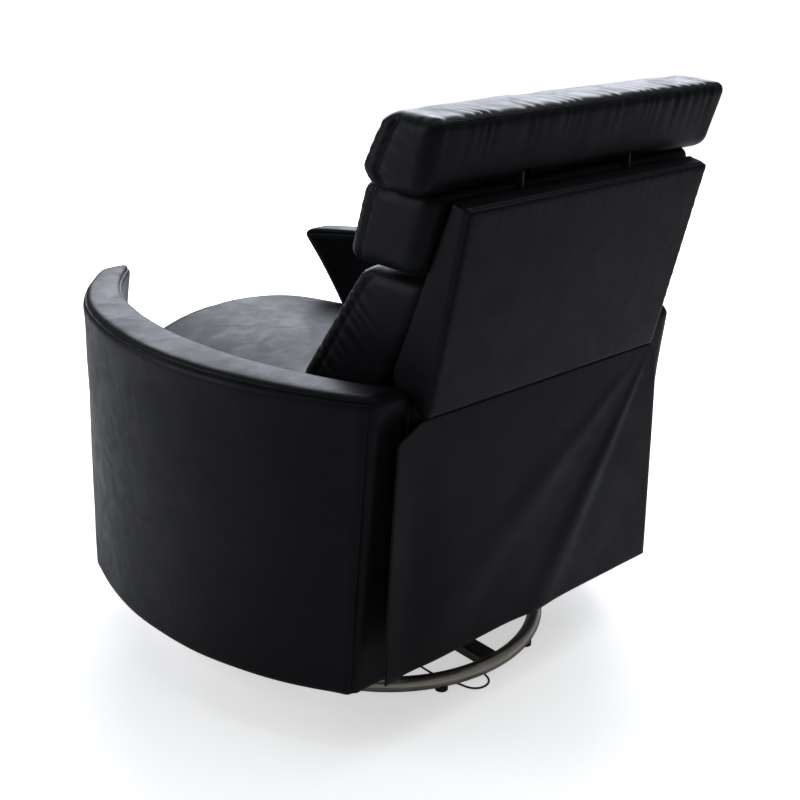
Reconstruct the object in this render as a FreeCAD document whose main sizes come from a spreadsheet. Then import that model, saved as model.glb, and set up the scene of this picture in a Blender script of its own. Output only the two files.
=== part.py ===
import FreeCAD, Part
import math
import os
import Sketcher

# Swivel power recliner with barrel arms, drawn in millimetres.
# The origin is on the floor under the middle of the chair's outline.
# Z points up, the occupant faces -Y, and the occupant's left arm is on +X.

SIZES = {
    # Turning base
    "swivel_y": 62, "ring_radius": 288, "ring_tube": 14, "ring_lift": 6,
    "glide_count": 8, "glide_radius": 12, "glide_height": 10,
    "spoke_count": 4, "spoke_width": 40, "spoke_height": 20, "spoke_rounding": 5,
    "hub_radius": 34, "hub_flange_radius": 95, "hub_flange": 6, "hub_floor": 10,
    "pin_radius": 12, "pin_bore": 5, "pin_clearance": 0.05, "pin_top": 62,
    "bearing_outer": 88, "bearing_inner": 52, "bearing_height": 6, "running_gap": 0.3,
    "nut_radius": 19, "nut_height": 9,
    "plate_width": 250, "plate_corner": 40, "plate_thickness": 6,
    # Under frame that turns with the chair
    "channel_spacing": 95, "channel_length": 420, "channel_height": 50,
    "channel_width": 34, "channel_wall": 4, "channel_y": 55,
    "tube_side": 30, "tube_wall": 2.5, "front_tube_y": -58, "rear_tube_y": 232,
    # Seat box
    "panel_inside": 215, "panel_thickness": 25, "panel_front": -421, "panel_rear": 262,
    "deck_height": 385, "rail_depth": 25, "front_rail_height": 34,
    "front_rail_y": -405, "rear_rail_y": 194, "rear_rail_height": 75,
    "web_width": 50, "web_thickness": 2, "web_count": 6, "web_spacing": 68,
    "stay_height": 60, "stay_depth": 45, "stay_level": 250, "stay_front_y": -250, "stay_rear_y": 140,
    # Barrel arms
    "arm_floor": 110, "arm_seam": 633, "arm_top": 646, "arm_thickness": 86,
    "arm_low_centre_x": -245, "arm_low_centre_y": -58, "arm_low_radius": 730,
    "arm_low_front": -307, "arm_low_rear": 366,
    "arm_high_centre_x": -366, "arm_high_centre_y": -7, "arm_high_radius": 816,
    "arm_inner_centre_x": -521, "arm_inner_centre_y": -16, "arm_inner_radius": 899,
    "arm_high_front": -496, "arm_high_rear": 424,
    "arm_corner": 20, "arm_crown": 13, "arm_hem": 8,
    # Seat cushion
    "seat_clearance": 3, "seat_front": -524, "seat_rear": 178, "seat_step": 84, "seat_drop": 52, "seat_edge": 470, "seat_crown": 508,
    "seat_corner": 32,
    # Reclining back
    "hinge_y": 297, "hinge_z": 400, "recline_range": 35,
    "shell_half_width": 268, "shell_top_y": 534, "shell_top_z": 927,
    "shell_seam_y": 453, "shell_seam_z": 602, "shell_panel": 18, "shell_wall": 14,
    "shell_top_depth": 38, "shell_low_depth": 90, "shell_rounding": 6,
    "upright_width": 30, "upright_thickness": 17, "lever_length": 90, "lever_bar_radius": 10,
    "back_half_width": 288, "lumbar_half_width": 262, "cushion_gap": 0.5,
    # Headrest
    "head_pivot_y": 382, "head_pivot_z": 966, "head_half_width": 304, "head_roll": 22,
    "head_arm_x": 120, "head_arm_thickness": 4, "head_arm_height": 13, "head_arm_bend": 944, "head_pocket": 14,
    "head_pin_radius": 4,
    # Linkage planes and pivots
    "plate_steel": 4, "plane_gap": 2.5, "link_half_width": 12, "pivot_radius": 5,
    "pivot_clearance": 0.05, "pivot_head_radius": 8, "pivot_head": 1.6,
    "rear_pivot_y": -208, "rear_pivot_z": 300, "rear_link": 220,
    "rear_stowed": -122, "rear_open": -12,
    "long_link": 340, "long_stowed": 24, "long_open": 22,
    "front_pivot_y": -283, "front_pivot_z": 335, "front_extension": 70,
    "board_stowed": 76, "board_open": 172,
    "torque_side": 22, "lever_radius": 62, "lever_turn": -23, "lever_spacing": 14,
    "leg_bar_radius": 6,
    # Footrest
    "bracket_depth": 32, "board_thickness": 15, "board_half_width": 232,
    "board_low": -140, "board_high": 126, "foot_pad": 48, "foot_pad_edge": 26,
    # Drives
    "motor_length": 110, "motor_width": 62, "motor_height": 46, "rod_width": 26, "rod_height": 18,
    "leg_drive_z": 196, "block_length": 46, "block_gap": 0.3, "block_wall": 8,
    "leg_drive_x": 0, "motor_front": 60, "leg_rail_reach": 240,
    "back_drive_x": 76, "back_drive_z": 262, "back_motor_front": 20, "back_rail_reach": 34,
    "fork_slack": 1.8, "leg_fork_slack": 3.6, "fork_prong": 8, "fork_width": 18, "fork_rise": 24,
    # Control panel on the inner side of the left arm
    "control_turn": -12, "control_z": 560, "control_length": 76, "control_height": 34,
    "control_depth": 14, "control_proud": 3, "button_radius": 9, "button_clearance": 0.3,
    "button_proud": 2.2, "button_length": 8, "button_travel": 1.5, "button_spacing": 34,
    # Loose skirt behind the legs
    "skirt_bottom_y": 418, "skirt_bottom_z": 156, "skirt_thickness": 3, "skirt_half_width": 264,
    "skirt_flare": 66, "skirt_fold": 14,
    # Power lead
    "lead_diameter": 4, "lead_sides": 8, "gland_radius": 5, "gland_length": 16, "gland_height": 18,
    "coil_radius": 22, "coil_pitch": 4.6, "coil_turns": 4, "plug_radius": 6.6, "plug_length": 34,
    "plug_lead": 26,
}

document = FreeCAD.newDocument("SwivelRecliner")
sheet = document.addObject("Spreadsheet::Sheet", "sizes")
for row, (alias, number) in enumerate(SIZES.items(), 1):
    sheet.set("A%d" % row, alias)
    sheet.set("B%d" % row, str(number))
    sheet.setAlias("B%d" % row, alias)
document.recompute()


class Size:
    """A number from the sheet, kept together with the expression that gives it."""

    def __init__(self, number, text):
        self.number = number
        self.text = text

    def __add__(self, other):
        return Size(self.number + number_of(other), "(%s + %s)" % (self.text, text_of(other)))

    def __sub__(self, other):
        return Size(self.number - number_of(other), "(%s - %s)" % (self.text, text_of(other)))

    def __mul__(self, other):
        return Size(self.number * number_of(other), "(%s * %s)" % (self.text, text_of(other)))

    def __truediv__(self, other):
        return Size(self.number / number_of(other), "(%s / %s)" % (self.text, text_of(other)))

    def __neg__(self):
        return Size(-self.number, "(0 - %s)" % self.text)

    def __radd__(self, other):
        return Size(number_of(other), text_of(other)) + self

    def __rsub__(self, other):
        return Size(number_of(other), text_of(other)) - self

    def __rmul__(self, other):
        return Size(number_of(other), text_of(other)) * self


def number_of(amount):
    return amount.number if isinstance(amount, Size) else float(amount)


def text_of(amount):
    return amount.text if isinstance(amount, Size) else "(%.6f)" % amount


def size(alias):
    return Size(float(sheet.get(alias)), "sizes." + alias)


def count(alias):
    return int(round(size(alias).number))


def read(*aliases):
    """Plain numbers for the shapes that are made by Part's own functions."""
    numbers = [size(alias).number for alias in aliases]
    return numbers[0] if len(numbers) == 1 else numbers


def bind(thing, amounts):
    """Sets properties by their path, as an expression where the amount comes from the sheet."""
    for path, amount in amounts.items():
        if isinstance(amount, Size):
            thing.setExpression(path, amount.text)
        elif "." in path:
            thing.setExpression(path, text_of(amount))
        else:
            setattr(thing, path, amount)


ROLES = {"top": "XY_Plane", "side": "YZ_Plane", "front": "XZ_Plane"}


class Drawing:
    """A sketch on one of its own body's origin planes."""

    def __init__(self, body, plane, lift=0.0):
        self.sketch = body.newObject("Sketcher::SketchObject", body.Name + "Sketch")
        plane_object = next(part for part in body.Origin.OriginFeatures if part.Role == ROLES[plane])
        self.sketch.AttachmentSupport = [(plane_object, "")]
        self.sketch.MapMode = "FlatFace"
        bind(self.sketch, {"AttachmentOffset.Base.z": lift})

    def hold(self, kind, *details):
        """Adds a constraint whose last detail is its amount."""
        amount = details[-1]
        index = self.sketch.addConstraint(Sketcher.Constraint(kind, *details[:-1], number_of(amount)))
        if isinstance(amount, Size):
            self.sketch.setExpression("Constraints[%d]" % index, amount.text)

    def place(self, geometry, end, x, y):
        self.hold("DistanceX", -1, 1, geometry, end, x)
        self.hold("DistanceY", -1, 1, geometry, end, y)

    def polygon(self, corners):
        spots = [FreeCAD.Vector(number_of(x), number_of(y), 0) for x, y in corners]
        lines = []
        for start, end in zip(spots, spots[1:] + spots[:1]):
            lines.append(self.sketch.addGeometry(Part.LineSegment(start, end), False))
        for line, following in zip(lines, lines[1:] + lines[:1]):
            self.sketch.addConstraint(Sketcher.Constraint("Coincident", line, 2, following, 1))
        for line, (x, y) in zip(lines, corners):
            self.place(line, 1, x, y)

    def rectangle(self, left, low, right, high):
        self.polygon([(left, low), (right, low), (right, high), (left, high)])

    def circle(self, x, y, radius):
        centre = FreeCAD.Vector(number_of(x), number_of(y), 0)
        shape = Part.Circle(centre, FreeCAD.Vector(0, 0, 1), number_of(radius))
        ring = self.sketch.addGeometry(shape, False)
        self.hold("Radius", ring, radius)
        self.place(ring, 3, x, y)

    def slot(self, length, radius):
        """A link's outline: round ends about the sketch's origin and a pivot at the length."""
        far, wide = number_of(length), number_of(radius)
        up = FreeCAD.Vector(0, 0, 1)
        near_end = Part.ArcOfCircle(Part.Circle(FreeCAD.Vector(), up, wide), math.pi / 2, 3 * math.pi / 2)
        far_end = Part.ArcOfCircle(Part.Circle(FreeCAD.Vector(far, 0, 0), up, wide), -math.pi / 2, math.pi / 2)
        low = Part.LineSegment(FreeCAD.Vector(0, -wide, 0), FreeCAD.Vector(far, -wide, 0))
        high = Part.LineSegment(FreeCAD.Vector(far, wide, 0), FreeCAD.Vector(0, wide, 0))
        near, lower, outer, upper = [
            self.sketch.addGeometry(shape, False) for shape in (near_end, low, far_end, high)
        ]
        for first, first_end, second, second_end in (
            (near, 2, lower, 1),
            (lower, 2, outer, 1),
            (outer, 2, upper, 1),
            (upper, 2, near, 1),
        ):
            joint = Sketcher.Constraint("Tangent", first, first_end, second, second_end)
            self.sketch.addConstraint(joint)
        self.hold("Radius", near, radius)
        self.place(near, 3, 0, 0)
        self.place(outer, 3, length, 0)


def new_body(name):
    return document.addObject("PartDesign::Body", name)


def pad(body, drawing, length, both_ways=False, reversed_way=False):
    feature = body.newObject("PartDesign::Pad", body.Name + "Pad")
    feature.Profile = drawing.sketch
    feature.Reversed = reversed_way
    feature.SideType = "Symmetric" if both_ways else "One side"
    bind(feature, {"Length": length})
    document.recompute()
    return feature


def pocket(body, drawing, length=None, both_ways=False, reversed_way=False):
    """Cuts a profile, through everything when no length is given, and makes sure that it cut."""
    before = body.Shape.Volume
    feature = body.newObject("PartDesign::Pocket", body.Name + "Pocket")
    feature.Profile = drawing.sketch
    feature.Reversed = reversed_way
    feature.SideType = "Symmetric" if both_ways else "One side"
    if length is None:
        feature.Type = "ThroughAll"
    else:
        bind(feature, {"Length": length})
    document.recompute()
    if not body.Shape.Volume < before:
        raise RuntimeError("the cut in %s removed nothing" % body.Name)
    return feature


def revolve(body, drawing):
    feature = body.newObject("PartDesign::Revolution", body.Name + "Turn")
    feature.Profile = drawing.sketch
    feature.ReferenceAxis = (drawing.sketch, ["V_Axis"])
    feature.Angle = 360
    document.recompute()
    return feature


def rounded(body, radius, wanted, name="Rounding"):
    """Rounds the edges of the body's last feature that pass the test."""
    feature = body.Tip
    names = ["Edge%d" % number for number, edge in enumerate(feature.Shape.Edges, 1) if wanted(edge)]
    rounding = body.newObject("PartDesign::Fillet", body.Name + name)
    rounding.Base = (feature, names)
    bind(rounding, {"Radius": radius})
    document.recompute()
    return rounding


def runs_along(edge, axis):
    """True for a straight edge that is parallel to the axis."""
    if edge.Curve.TypeId != "Part::GeomLine":
        return False
    return abs(abs(edge.Curve.Direction.dot(FreeCAD.Vector(*axis))) - 1) < 1e-6


def block(name, x, y, z, length, width, height):
    """A box from its low corner."""
    box = document.addObject("Part::Box", name)
    bind(box, {"Length": length, "Width": width, "Height": height})
    bind(box, {"Placement.Base.x": x, "Placement.Base.y": y, "Placement.Base.z": z})
    return box


def rod(name, radius, height, x, y, z, turn=None):
    """A cylinder, upright unless a rotation is given."""
    cylinder = document.addObject("Part::Cylinder", name)
    bind(cylinder, {"Radius": radius, "Height": height})
    if turn:
        cylinder.Placement.Rotation = turn
    bind(cylinder, {"Placement.Base.x": x, "Placement.Base.y": y, "Placement.Base.z": z})
    return cylinder


ALONG_X = FreeCAD.Rotation(FreeCAD.Vector(0, 1, 0), 90)


def cut(name, base, tool):
    result = document.addObject("Part::Cut", name)
    result.Base = base
    result.Tool = tool
    return result


def fuse(name, pieces):
    result = document.addObject("Part::MultiFuse", name)
    result.Shapes = pieces
    return result


def group(name, pieces):
    result = document.addObject("Part::Compound", name)
    result.Links = pieces
    return result


def other_side(piece, name):
    """The same piece on the other side of the chair."""
    mirror = document.addObject("Part::Mirroring", name)
    mirror.Source = piece
    mirror.Normal = FreeCAD.Vector(1, 0, 0)
    return mirror


def both_sides(name, piece):
    return group(name, [piece, other_side(piece, name + "Mirror")])


def made(name, shape):
    """A piece whose shape comes from Part's own functions."""
    feature = document.addObject("Part::Feature", name)
    feature.Shape = shape
    return feature


pieces = {}


def keep(node, piece):
    piece.Label = node
    pieces[node] = piece
    return piece


# Turning base


def base_ring_at(name, extra=0.0):
    ring = document.addObject("Part::Torus", name)
    bind(ring, {"Radius1": size("ring_radius"), "Radius2": size("ring_tube") + extra})
    height = size("ring_lift") + size("ring_tube")
    bind(ring, {"Placement.Base.y": size("swivel_y"), "Placement.Base.z": height})
    return ring


def make_glides():
    """Plastic cups that carry the ring, shaped to it on top."""
    glides = []
    for number in range(count("glide_count")):
        angle = 360 * (number + 0.5) / count("glide_count")
        x = size("ring_radius") * math.cos(math.radians(angle))
        y = size("swivel_y") + size("ring_radius") * math.sin(math.radians(angle))
        cup = rod("Glide%d" % number, size("glide_radius"), size("glide_height"), x, y, 0)
        glides.append(cut("GlideCup%d" % number, cup, base_ring_at("GlideSeat%d" % number)))
    return group("Glides", glides)


def spoke_low():
    return size("ring_lift") + size("ring_tube") - size("spoke_height") / 2


def hub_low():
    return size("hub_floor")


def flange_low():
    return spoke_low() + size("spoke_height")


def bearing_low():
    return flange_low() + size("hub_flange")


def plate_low():
    return bearing_low() + size("bearing_height") + size("running_gap")


def make_spokes():
    """Four flat tubes between the hub's barrel and the ring, coped to the ring's inner side."""
    body = new_body("Spokes")
    drawing = Drawing(body, "top", spoke_low())
    half = size("spoke_width") / 2
    drawing.rectangle(size("hub_radius") * 0.7, -half, size("ring_radius"), half)
    arm = pad(body, drawing, size("spoke_height"))
    rounding = rounded(body, size("spoke_rounding"), lambda edge: runs_along(edge, (1, 0, 0)))
    pattern = body.newObject("PartDesign::MultiTransform", "SpokePattern")
    pattern.Originals = [arm, rounding]
    polar = body.newObject("PartDesign::PolarPattern", "SpokeTurn")
    axis = next(part for part in body.Origin.OriginFeatures if part.Role == "Z_Axis")
    polar.Axis = (axis, [""])
    polar.Angle = 360
    polar.Occurrences = count("spoke_count")
    pattern.Transformations = [polar]
    body.Tip = pattern
    document.recompute()
    bind(body, {"Placement.Base.y": size("swivel_y")})
    coped = cut("SpokesCoped", body, base_ring_at("SpokeRing"))
    barrel = rod("SpokeBarrel", size("hub_radius"), 100, 0, size("swivel_y"), 0)
    return cut("SpokesTrimmed", coped, barrel)


def make_hub():
    body = new_body("Hub")
    drawing = Drawing(body, "front")
    bore = size("pin_radius") + size("pin_clearance")
    drawing.polygon(
        [
            (bore, hub_low()),
            (size("hub_radius"), hub_low()),
            (size("hub_radius"), flange_low()),
            (size("hub_flange_radius"), flange_low()),
            (size("hub_flange_radius"), bearing_low()),
            (bore, bearing_low()),
        ]
    )
    revolve(body, drawing)
    bind(body, {"Placement.Base.y": size("swivel_y")})
    return body


def make_bearing_ring():
    body = new_body("BearingRing")
    drawing = Drawing(body, "front")
    drawing.rectangle(
        size("bearing_inner"), bearing_low(), size("bearing_outer"), bearing_low() + size("bearing_height")
    )
    revolve(body, drawing)
    bind(body, {"Placement.Base.y": size("swivel_y")})
    return body


def make_king_pin():
    body = new_body("KingPin")
    drawing = Drawing(body, "front")
    drawing.rectangle(size("pin_bore"), hub_low(), size("pin_radius"), size("pin_top"))
    revolve(body, drawing)
    bind(body, {"Placement.Base.y": size("swivel_y")})
    return body


def make_swivel_nut():
    body = new_body("SwivelNut")
    low = plate_low() + size("plate_thickness") + size("running_gap")
    drawing = Drawing(body, "top", low)
    corners = []
    for number in range(6):
        angle = math.radians(60 * number)
        corners.append((size("nut_radius") * math.cos(angle), size("nut_radius") * math.sin(angle)))
    drawing.polygon(corners)
    drawing.circle(0, 0, size("pin_radius"))
    pad(body, drawing, size("nut_height"))
    bind(body, {"Placement.Base.y": size("swivel_y")})
    return body


keep("base_ring", base_ring_at("BaseRing"))
keep("base_glides", make_glides())
keep("base_spokes", make_spokes())
keep("base_hub", make_hub())
keep("bearing_ring", make_bearing_ring())
keep("king_pin", make_king_pin())
keep("swivel_nut", make_swivel_nut())

# Under frame that turns with the chair


def make_swivel_plate():
    body = new_body("SwivelPlate")
    drawing = Drawing(body, "top", plate_low())
    half = size("plate_width") / 2
    drawing.rectangle(-half, -half, half, half)
    drawing.circle(0, 0, size("pin_radius") + size("pin_clearance"))
    pad(body, drawing, size("plate_thickness"))
    rounded(body, size("plate_corner"), lambda edge: runs_along(edge, (0, 0, 1)))
    bind(body, {"Placement.Base.y": size("swivel_y")})
    return body


def channel_low():
    return plate_low() + size("plate_thickness")


def make_channels():
    """Two steel channels on the swivel plate, open to the outside."""
    body = new_body("Channel")
    drawing = Drawing(body, "front")
    left = size("channel_spacing") - size("channel_width") / 2
    right = size("channel_spacing") + size("channel_width") / 2
    low = channel_low()
    high = low + size("channel_height")
    wall = size("channel_wall")
    drawing.polygon(
        [
            (left, low),
            (right, low),
            (right, low + wall),
            (left + wall, low + wall),
            (left + wall, high - wall),
            (right, high - wall),
            (right, high),
            (left, high),
        ]
    )
    pad(body, drawing, size("channel_length"), both_ways=True)
    bind(body, {"Placement.Base.y": size("channel_y")})
    return both_sides("Channels", body)


def cross_tube_low():
    return channel_low() + size("channel_height")


def make_cross_tube(name, y):
    """Square tube from side panel to side panel."""
    body = new_body(name)
    drawing = Drawing(body, "side")
    half = size("tube_side") / 2
    wall = size("tube_wall")
    low = cross_tube_low()
    high = low + size("tube_side")
    drawing.rectangle(y - half, low, y + half, high)
    drawing.rectangle(y - half + wall, low + wall, y + half - wall, high - wall)
    pad(body, drawing, 2 * (size("panel_inside") + size("panel_thickness")), both_ways=True)
    return body


def seat_box_low():
    return cross_tube_low() + size("tube_side")


keep("swivel_plate", make_swivel_plate())
keep("mount_channels", make_channels())
keep("cross_tube_front", make_cross_tube("CrossTubeFront", size("front_tube_y")))
keep("cross_tube_rear", make_cross_tube("CrossTubeRear", size("rear_tube_y")))

# Seat box of plywood panels and rails


def make_side_panel():
    """Side panel, cut away below the front and raised on the cross tubes at the rear."""
    body = new_body("SidePanel")
    drawing = Drawing(body, "side", size("panel_inside"))
    front, rear = size("panel_front"), size("panel_rear")
    low, high = seat_box_low(), size("deck_height")
    foot_front = size("front_tube_y") - size("tube_side")
    drawing.polygon(
        [
            (front, high - 110),
            (foot_front - 60, low + 60),
            (foot_front, low),
            (rear, low),
            (rear, low + 150),
            (size("rear_rail_y") + 30, high),
            (front, high),
        ]
    )
    pad(body, drawing, size("panel_thickness"))
    rounded(body, 12, lambda edge: runs_along(edge, (1, 0, 0)))
    return body


def make_rail(name, y, height, half):
    depth = size("rail_depth")
    low = size("deck_height") - height
    return block(name, -half, y - depth / 2, low, 2 * half, depth, height)


def make_webbing():
    """Elastic straps from the front rail to the rear rail."""
    straps = []
    front = size("front_rail_y") - size("rail_depth") / 2
    length = size("rear_rail_y") - size("front_rail_y") + size("rail_depth")
    middle = (count("web_count") - 1) / 2
    for number in range(count("web_count")):
        x = size("web_spacing") * (number - middle) - size("web_width") / 2
        straps.append(
            block(
                "Strap%d" % number, x, front, size("deck_height"),
                size("web_width"), length, size("web_thickness"),
            )
        )
    return group("Webbing", straps)


side_panel = keep("side_panel_left", make_side_panel())
keep("side_panel_right", other_side(side_panel, "SidePanelRight"))
keep("front_rail", make_rail(
    "FrontRail", size("front_rail_y"), size("front_rail_height"), size("panel_inside")))
keep("rear_rail", make_rail(
    "RearRail", size("rear_rail_y"), size("rear_rail_height"), size("panel_inside") - size("plate_steel")))
keep("seat_webbing", make_webbing())

# Barrel arms


def on_arc(centre, radius, y):
    """The point of an arc on its +X side at the given y."""
    return FreeCAD.Vector(centre[0] + math.sqrt(radius * radius - (y - centre[1]) ** 2), y, 0)


def rounded_corner(start, end, corner):
    """A quarter bend from a side to an end, in place of their sharp corner."""
    middle = (start + end) * 0.5
    return Part.Arc(start, middle + (corner - middle) * (math.sqrt(2) - 1), end)


def arm_band(outer, inner, front, rear, height, shrink=0.0):
    """Closed plan outline of an arm at one height, with rounded corners."""
    corner = read("arm_corner") - shrink
    front, rear = front + shrink, rear - shrink
    middle = (front + rear) / 2
    lift = FreeCAD.Vector(0, 0, height)
    across = FreeCAD.Vector(corner, 0, 0)
    depths = (front + corner, middle, rear - corner)
    outside = [on_arc(outer[0], outer[1] - shrink, y) + lift for y in depths]
    inside = [on_arc(inner[0], inner[1] + shrink, y) + lift for y in reversed(depths)]
    rear_out = FreeCAD.Vector(outside[2].x, rear, height)
    rear_in = FreeCAD.Vector(inside[0].x, rear, height)
    front_in = FreeCAD.Vector(inside[2].x, front, height)
    front_out = FreeCAD.Vector(outside[0].x, front, height)
    curves = [
        Part.Arc(*outside),
        rounded_corner(outside[2], rear_out - across, rear_out),
        Part.LineSegment(rear_out - across, rear_in + across),
        rounded_corner(rear_in + across, inside[0], rear_in),
        Part.Arc(*inside),
        rounded_corner(inside[2], front_in + across, front_in),
        Part.LineSegment(front_in + across, front_out - across),
        rounded_corner(front_out - across, outside[0], front_out),
    ]
    return Part.Wire([curve.toShape() for curve in curves])


def arm_shape():
    """The arm's wall leans and curves from its floor edge to its seam, with a crowned top."""
    low_centre = read("arm_low_centre_x", "arm_low_centre_y")
    high_centre = read("arm_high_centre_x", "arm_high_centre_y")
    inner_centre = read("arm_inner_centre_x", "arm_inner_centre_y")
    low_radius, thickness = read("arm_low_radius", "arm_thickness")
    low = ((low_centre, low_radius), (low_centre, low_radius - thickness))
    high = ((high_centre, read("arm_high_radius")), (inner_centre, read("arm_inner_radius")))
    low_ends = read("arm_low_front", "arm_low_rear")
    high_ends = read("arm_high_front", "arm_high_rear")
    floor, seam, top = read("arm_floor", "arm_seam", "arm_top")
    crown, hem = read("arm_crown", "arm_hem")
    hem_band = arm_band(*low, *low_ends, floor, hem)
    wall_low = arm_band(*low, *low_ends, floor + hem)
    wall_high = arm_band(*high, *high_ends, seam)
    top_band = arm_band(*high, *high_ends, top, crown)
    wall = Part.makeLoft([wall_low, wall_high], True, True)
    foot = Part.makeLoft([hem_band, wall_low], True, True)
    cap = Part.makeLoft([wall_high, top_band], True, True)
    return foot.fuse([wall, cap]).removeSplitter()


arm_blank = made("ArmBlank", arm_shape())


def control_frame():
    """Placement of the control panel: X into the arm, on the arm's inner face."""
    centre_x, centre_y, radius = read("arm_inner_centre_x", "arm_inner_centre_y", "arm_inner_radius")
    turn, height = read("control_turn", "control_z")
    angle = math.radians(turn)
    spot = FreeCAD.Vector(
        centre_x + radius * math.cos(angle), centre_y + radius * math.sin(angle), height
    )
    return FreeCAD.Placement(spot, FreeCAD.Rotation(FreeCAD.Vector(0, 0, 1), turn))


def control_block(name):
    depth, length, height, proud = read(
        "control_depth", "control_length", "control_height", "control_proud"
    )
    corner = FreeCAD.Vector(-proud, -length / 2, -height / 2)
    shape = Part.makeBox(depth + proud, length, height, corner)
    upright = [edge for edge in shape.Edges if runs_along(edge, (1, 0, 0))]
    feature = made(name, shape.makeFillet(height / 3, upright))
    feature.Placement = control_frame()
    return feature


def button_spot(side):
    proud, spread = read("button_proud", "button_spacing")
    face = read("control_proud")
    return FreeCAD.Vector(-face - proud, side * spread / 2, 0)


def make_control_panel():
    """Oval panel let into the arm, with a blind bore behind each button."""
    panel = control_block("ControlBlock")
    radius, clearance, travel, length = read(
        "button_radius", "button_clearance", "button_travel", "button_length"
    )
    bores = []
    for side in (-1, 1):
        depth = length + travel + clearance
        shape = Part.makeCylinder(radius + clearance, depth, button_spot(side), FreeCAD.Vector(1, 0, 0))
        bore = made("ButtonBore", shape)
        bore.Placement = control_frame()
        bores.append(bore)
    return cut("ControlPanel", panel, fuse("ButtonBores", bores))


def make_button(side):
    radius, length = read("button_radius", "button_length")
    shape = Part.makeCylinder(radius, length, button_spot(side), FreeCAD.Vector(1, 0, 0))
    rim = [edge for edge in shape.Edges if edge.Curve.TypeId == "Part::GeomCircle"]
    rim.sort(key=lambda edge: edge.CenterOfMass.x)
    button = made("Button", shape.makeChamfer(1, rim[:1]))
    button.Placement = control_frame()
    return button


def make_stays():
    """Wooden stays from the side panel to the arm's inner wall, two to a side."""
    stays = []
    outside = size("panel_inside") + size("panel_thickness")
    for spot in ("stay_front_y", "stay_rear_y"):
        low_y = size(spot) - size("stay_depth") / 2
        blank = block(
            "StayBlank", outside, low_y, size("stay_level"), 200, size("stay_depth"), size("stay_height")
        )
        inner = cut("StayTrimmed", blank, arm_blank)
        stays.append(inner)
    return stays


def first_solid(name, source):
    """The solid of a cut piece that lies nearest the middle of the chair."""
    document.recompute()
    nearest = min(source.Shape.Solids, key=lambda solid: abs(solid.CenterOfMass.x))
    return made(name, nearest)


left_arm = keep("arm_left", cut("ArmLeft", arm_blank, control_block("ControlRecess")))
keep("arm_right", other_side(arm_blank, "ArmRight"))
keep("control_panel", make_control_panel())
keep("button_recline", make_button(-1))
keep("button_return", make_button(1))
stay_pair = group("StayPair", [first_solid("Stay%d" % n, stay) for n, stay in enumerate(make_stays())])
keep("arm_stays", both_sides("ArmStays", stay_pair))


# Seat cushion


def seat_section(y, squeeze, drop):
    """Cross-section of the seat at one depth: flat under side, bulged sides and a crowned top."""
    centre_x, centre_y, radius = read("arm_inner_centre_x", "arm_inner_centre_y", "arm_inner_radius")
    low_centre_x, low_centre_y = read("arm_low_centre_x", "arm_low_centre_y")
    low_inner = read("arm_low_radius") - read("arm_thickness")
    inner_high = on_arc((centre_x, centre_y), radius, y).x
    reach = low_inner ** 2 - (y - low_centre_y) ** 2
    inner_low = low_centre_x + math.sqrt(max(reach, 0))
    floor, seam, bottom, edge, crown = read(
        "arm_floor", "arm_seam", "deck_height", "seat_edge", "seat_crown"
    )
    bottom += read("web_thickness") + read("running_gap")
    share = (bottom - floor) / (seam - floor)
    half = min(inner_high, inner_low + (inner_high - inner_low) * share) - read("seat_clearance") - squeeze
    bulge = read("seat_corner")
    edge, crown = edge - drop, crown - drop
    middle = (bottom + edge) / 2

    def plane(x, z):
        return FreeCAD.Vector(x, y, z)

    under = Part.LineSegment(plane(-half + bulge, bottom), plane(half - bulge, bottom))
    slope = min(bulge * 0.35, (edge - bottom) * 0.25)
    sides = []
    for side in (1, -1):
        points = [plane(side * (half - bulge), bottom), plane(side * (half - slope), bottom + slope)]
        points += [plane(side * half, middle)]
        low_arc = Part.Arc(*(points if side > 0 else points[::-1]))
        points = [plane(side * half, middle), plane(side * (half - slope), edge - slope)]
        points += [plane(side * (half - bulge), edge)]
        high_arc = Part.Arc(*(points if side > 0 else points[::-1]))
        sides.append((low_arc, high_arc))
    top = Part.Arc(plane(half - bulge, edge), plane(0, crown), plane(-half + bulge, edge))
    order = [under, sides[0][0], sides[0][1], top, sides[1][1], sides[1][0]]
    return Part.Wire([curve.toShape() for curve in order])


def make_seat():
    """One crowned cushion that fills the barrel between the arms and rolls over at its front."""
    front, rear, step, drop = read("seat_front", "seat_rear", "seat_step", "seat_drop")
    steps = [
        (front, 30, 34), (front + 10, 14, 12), (front + 45, 2, 0), (front + 190, 0, 0),
        (front + 350, 0, 0), (step - 80, 0, 0), (step - 14, 1, 8), (step, 10, 26),
    ]
    cushion_body = Part.makeLoft([seat_section(*step) for step in steps], True, False)
    under_back = [(step - 40, 12, drop), (rear - 20, 12, drop + 2), (rear, 18, drop + 6)]
    tail = Part.makeLoft([seat_section(*step) for step in under_back], True, True)
    return made("SeatCushion", cushion_body.fuse(tail).removeSplitter())


keep("seat_cushion", make_seat())

# Reclining back


def lean():
    """Unit vectors of the shell's back face in the side view: up along it, and out of its front."""
    top_y, top_z, low_y, low_z = read("shell_top_y", "shell_top_z", "shell_seam_y", "shell_seam_z")
    up = FreeCAD.Vector(0, top_y - low_y, top_z - low_z)
    up.normalize()
    return up, FreeCAD.Vector(0, -up.z, up.y)


def beside_shell(share, depth, above=0.0):
    """A point of the side view: a share of the way up the shell, and a depth in front of its back."""
    top_y, top_z, low_y, low_z = read("shell_top_y", "shell_top_z", "shell_seam_y", "shell_seam_z")
    up, out = lean()
    low = FreeCAD.Vector(0, low_y, low_z)
    high = FreeCAD.Vector(0, top_y, top_z)
    return low + (high - low) * share + out * depth + up * above


def side_points(points):
    return [(point.y, point.z) for point in points]


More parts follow.
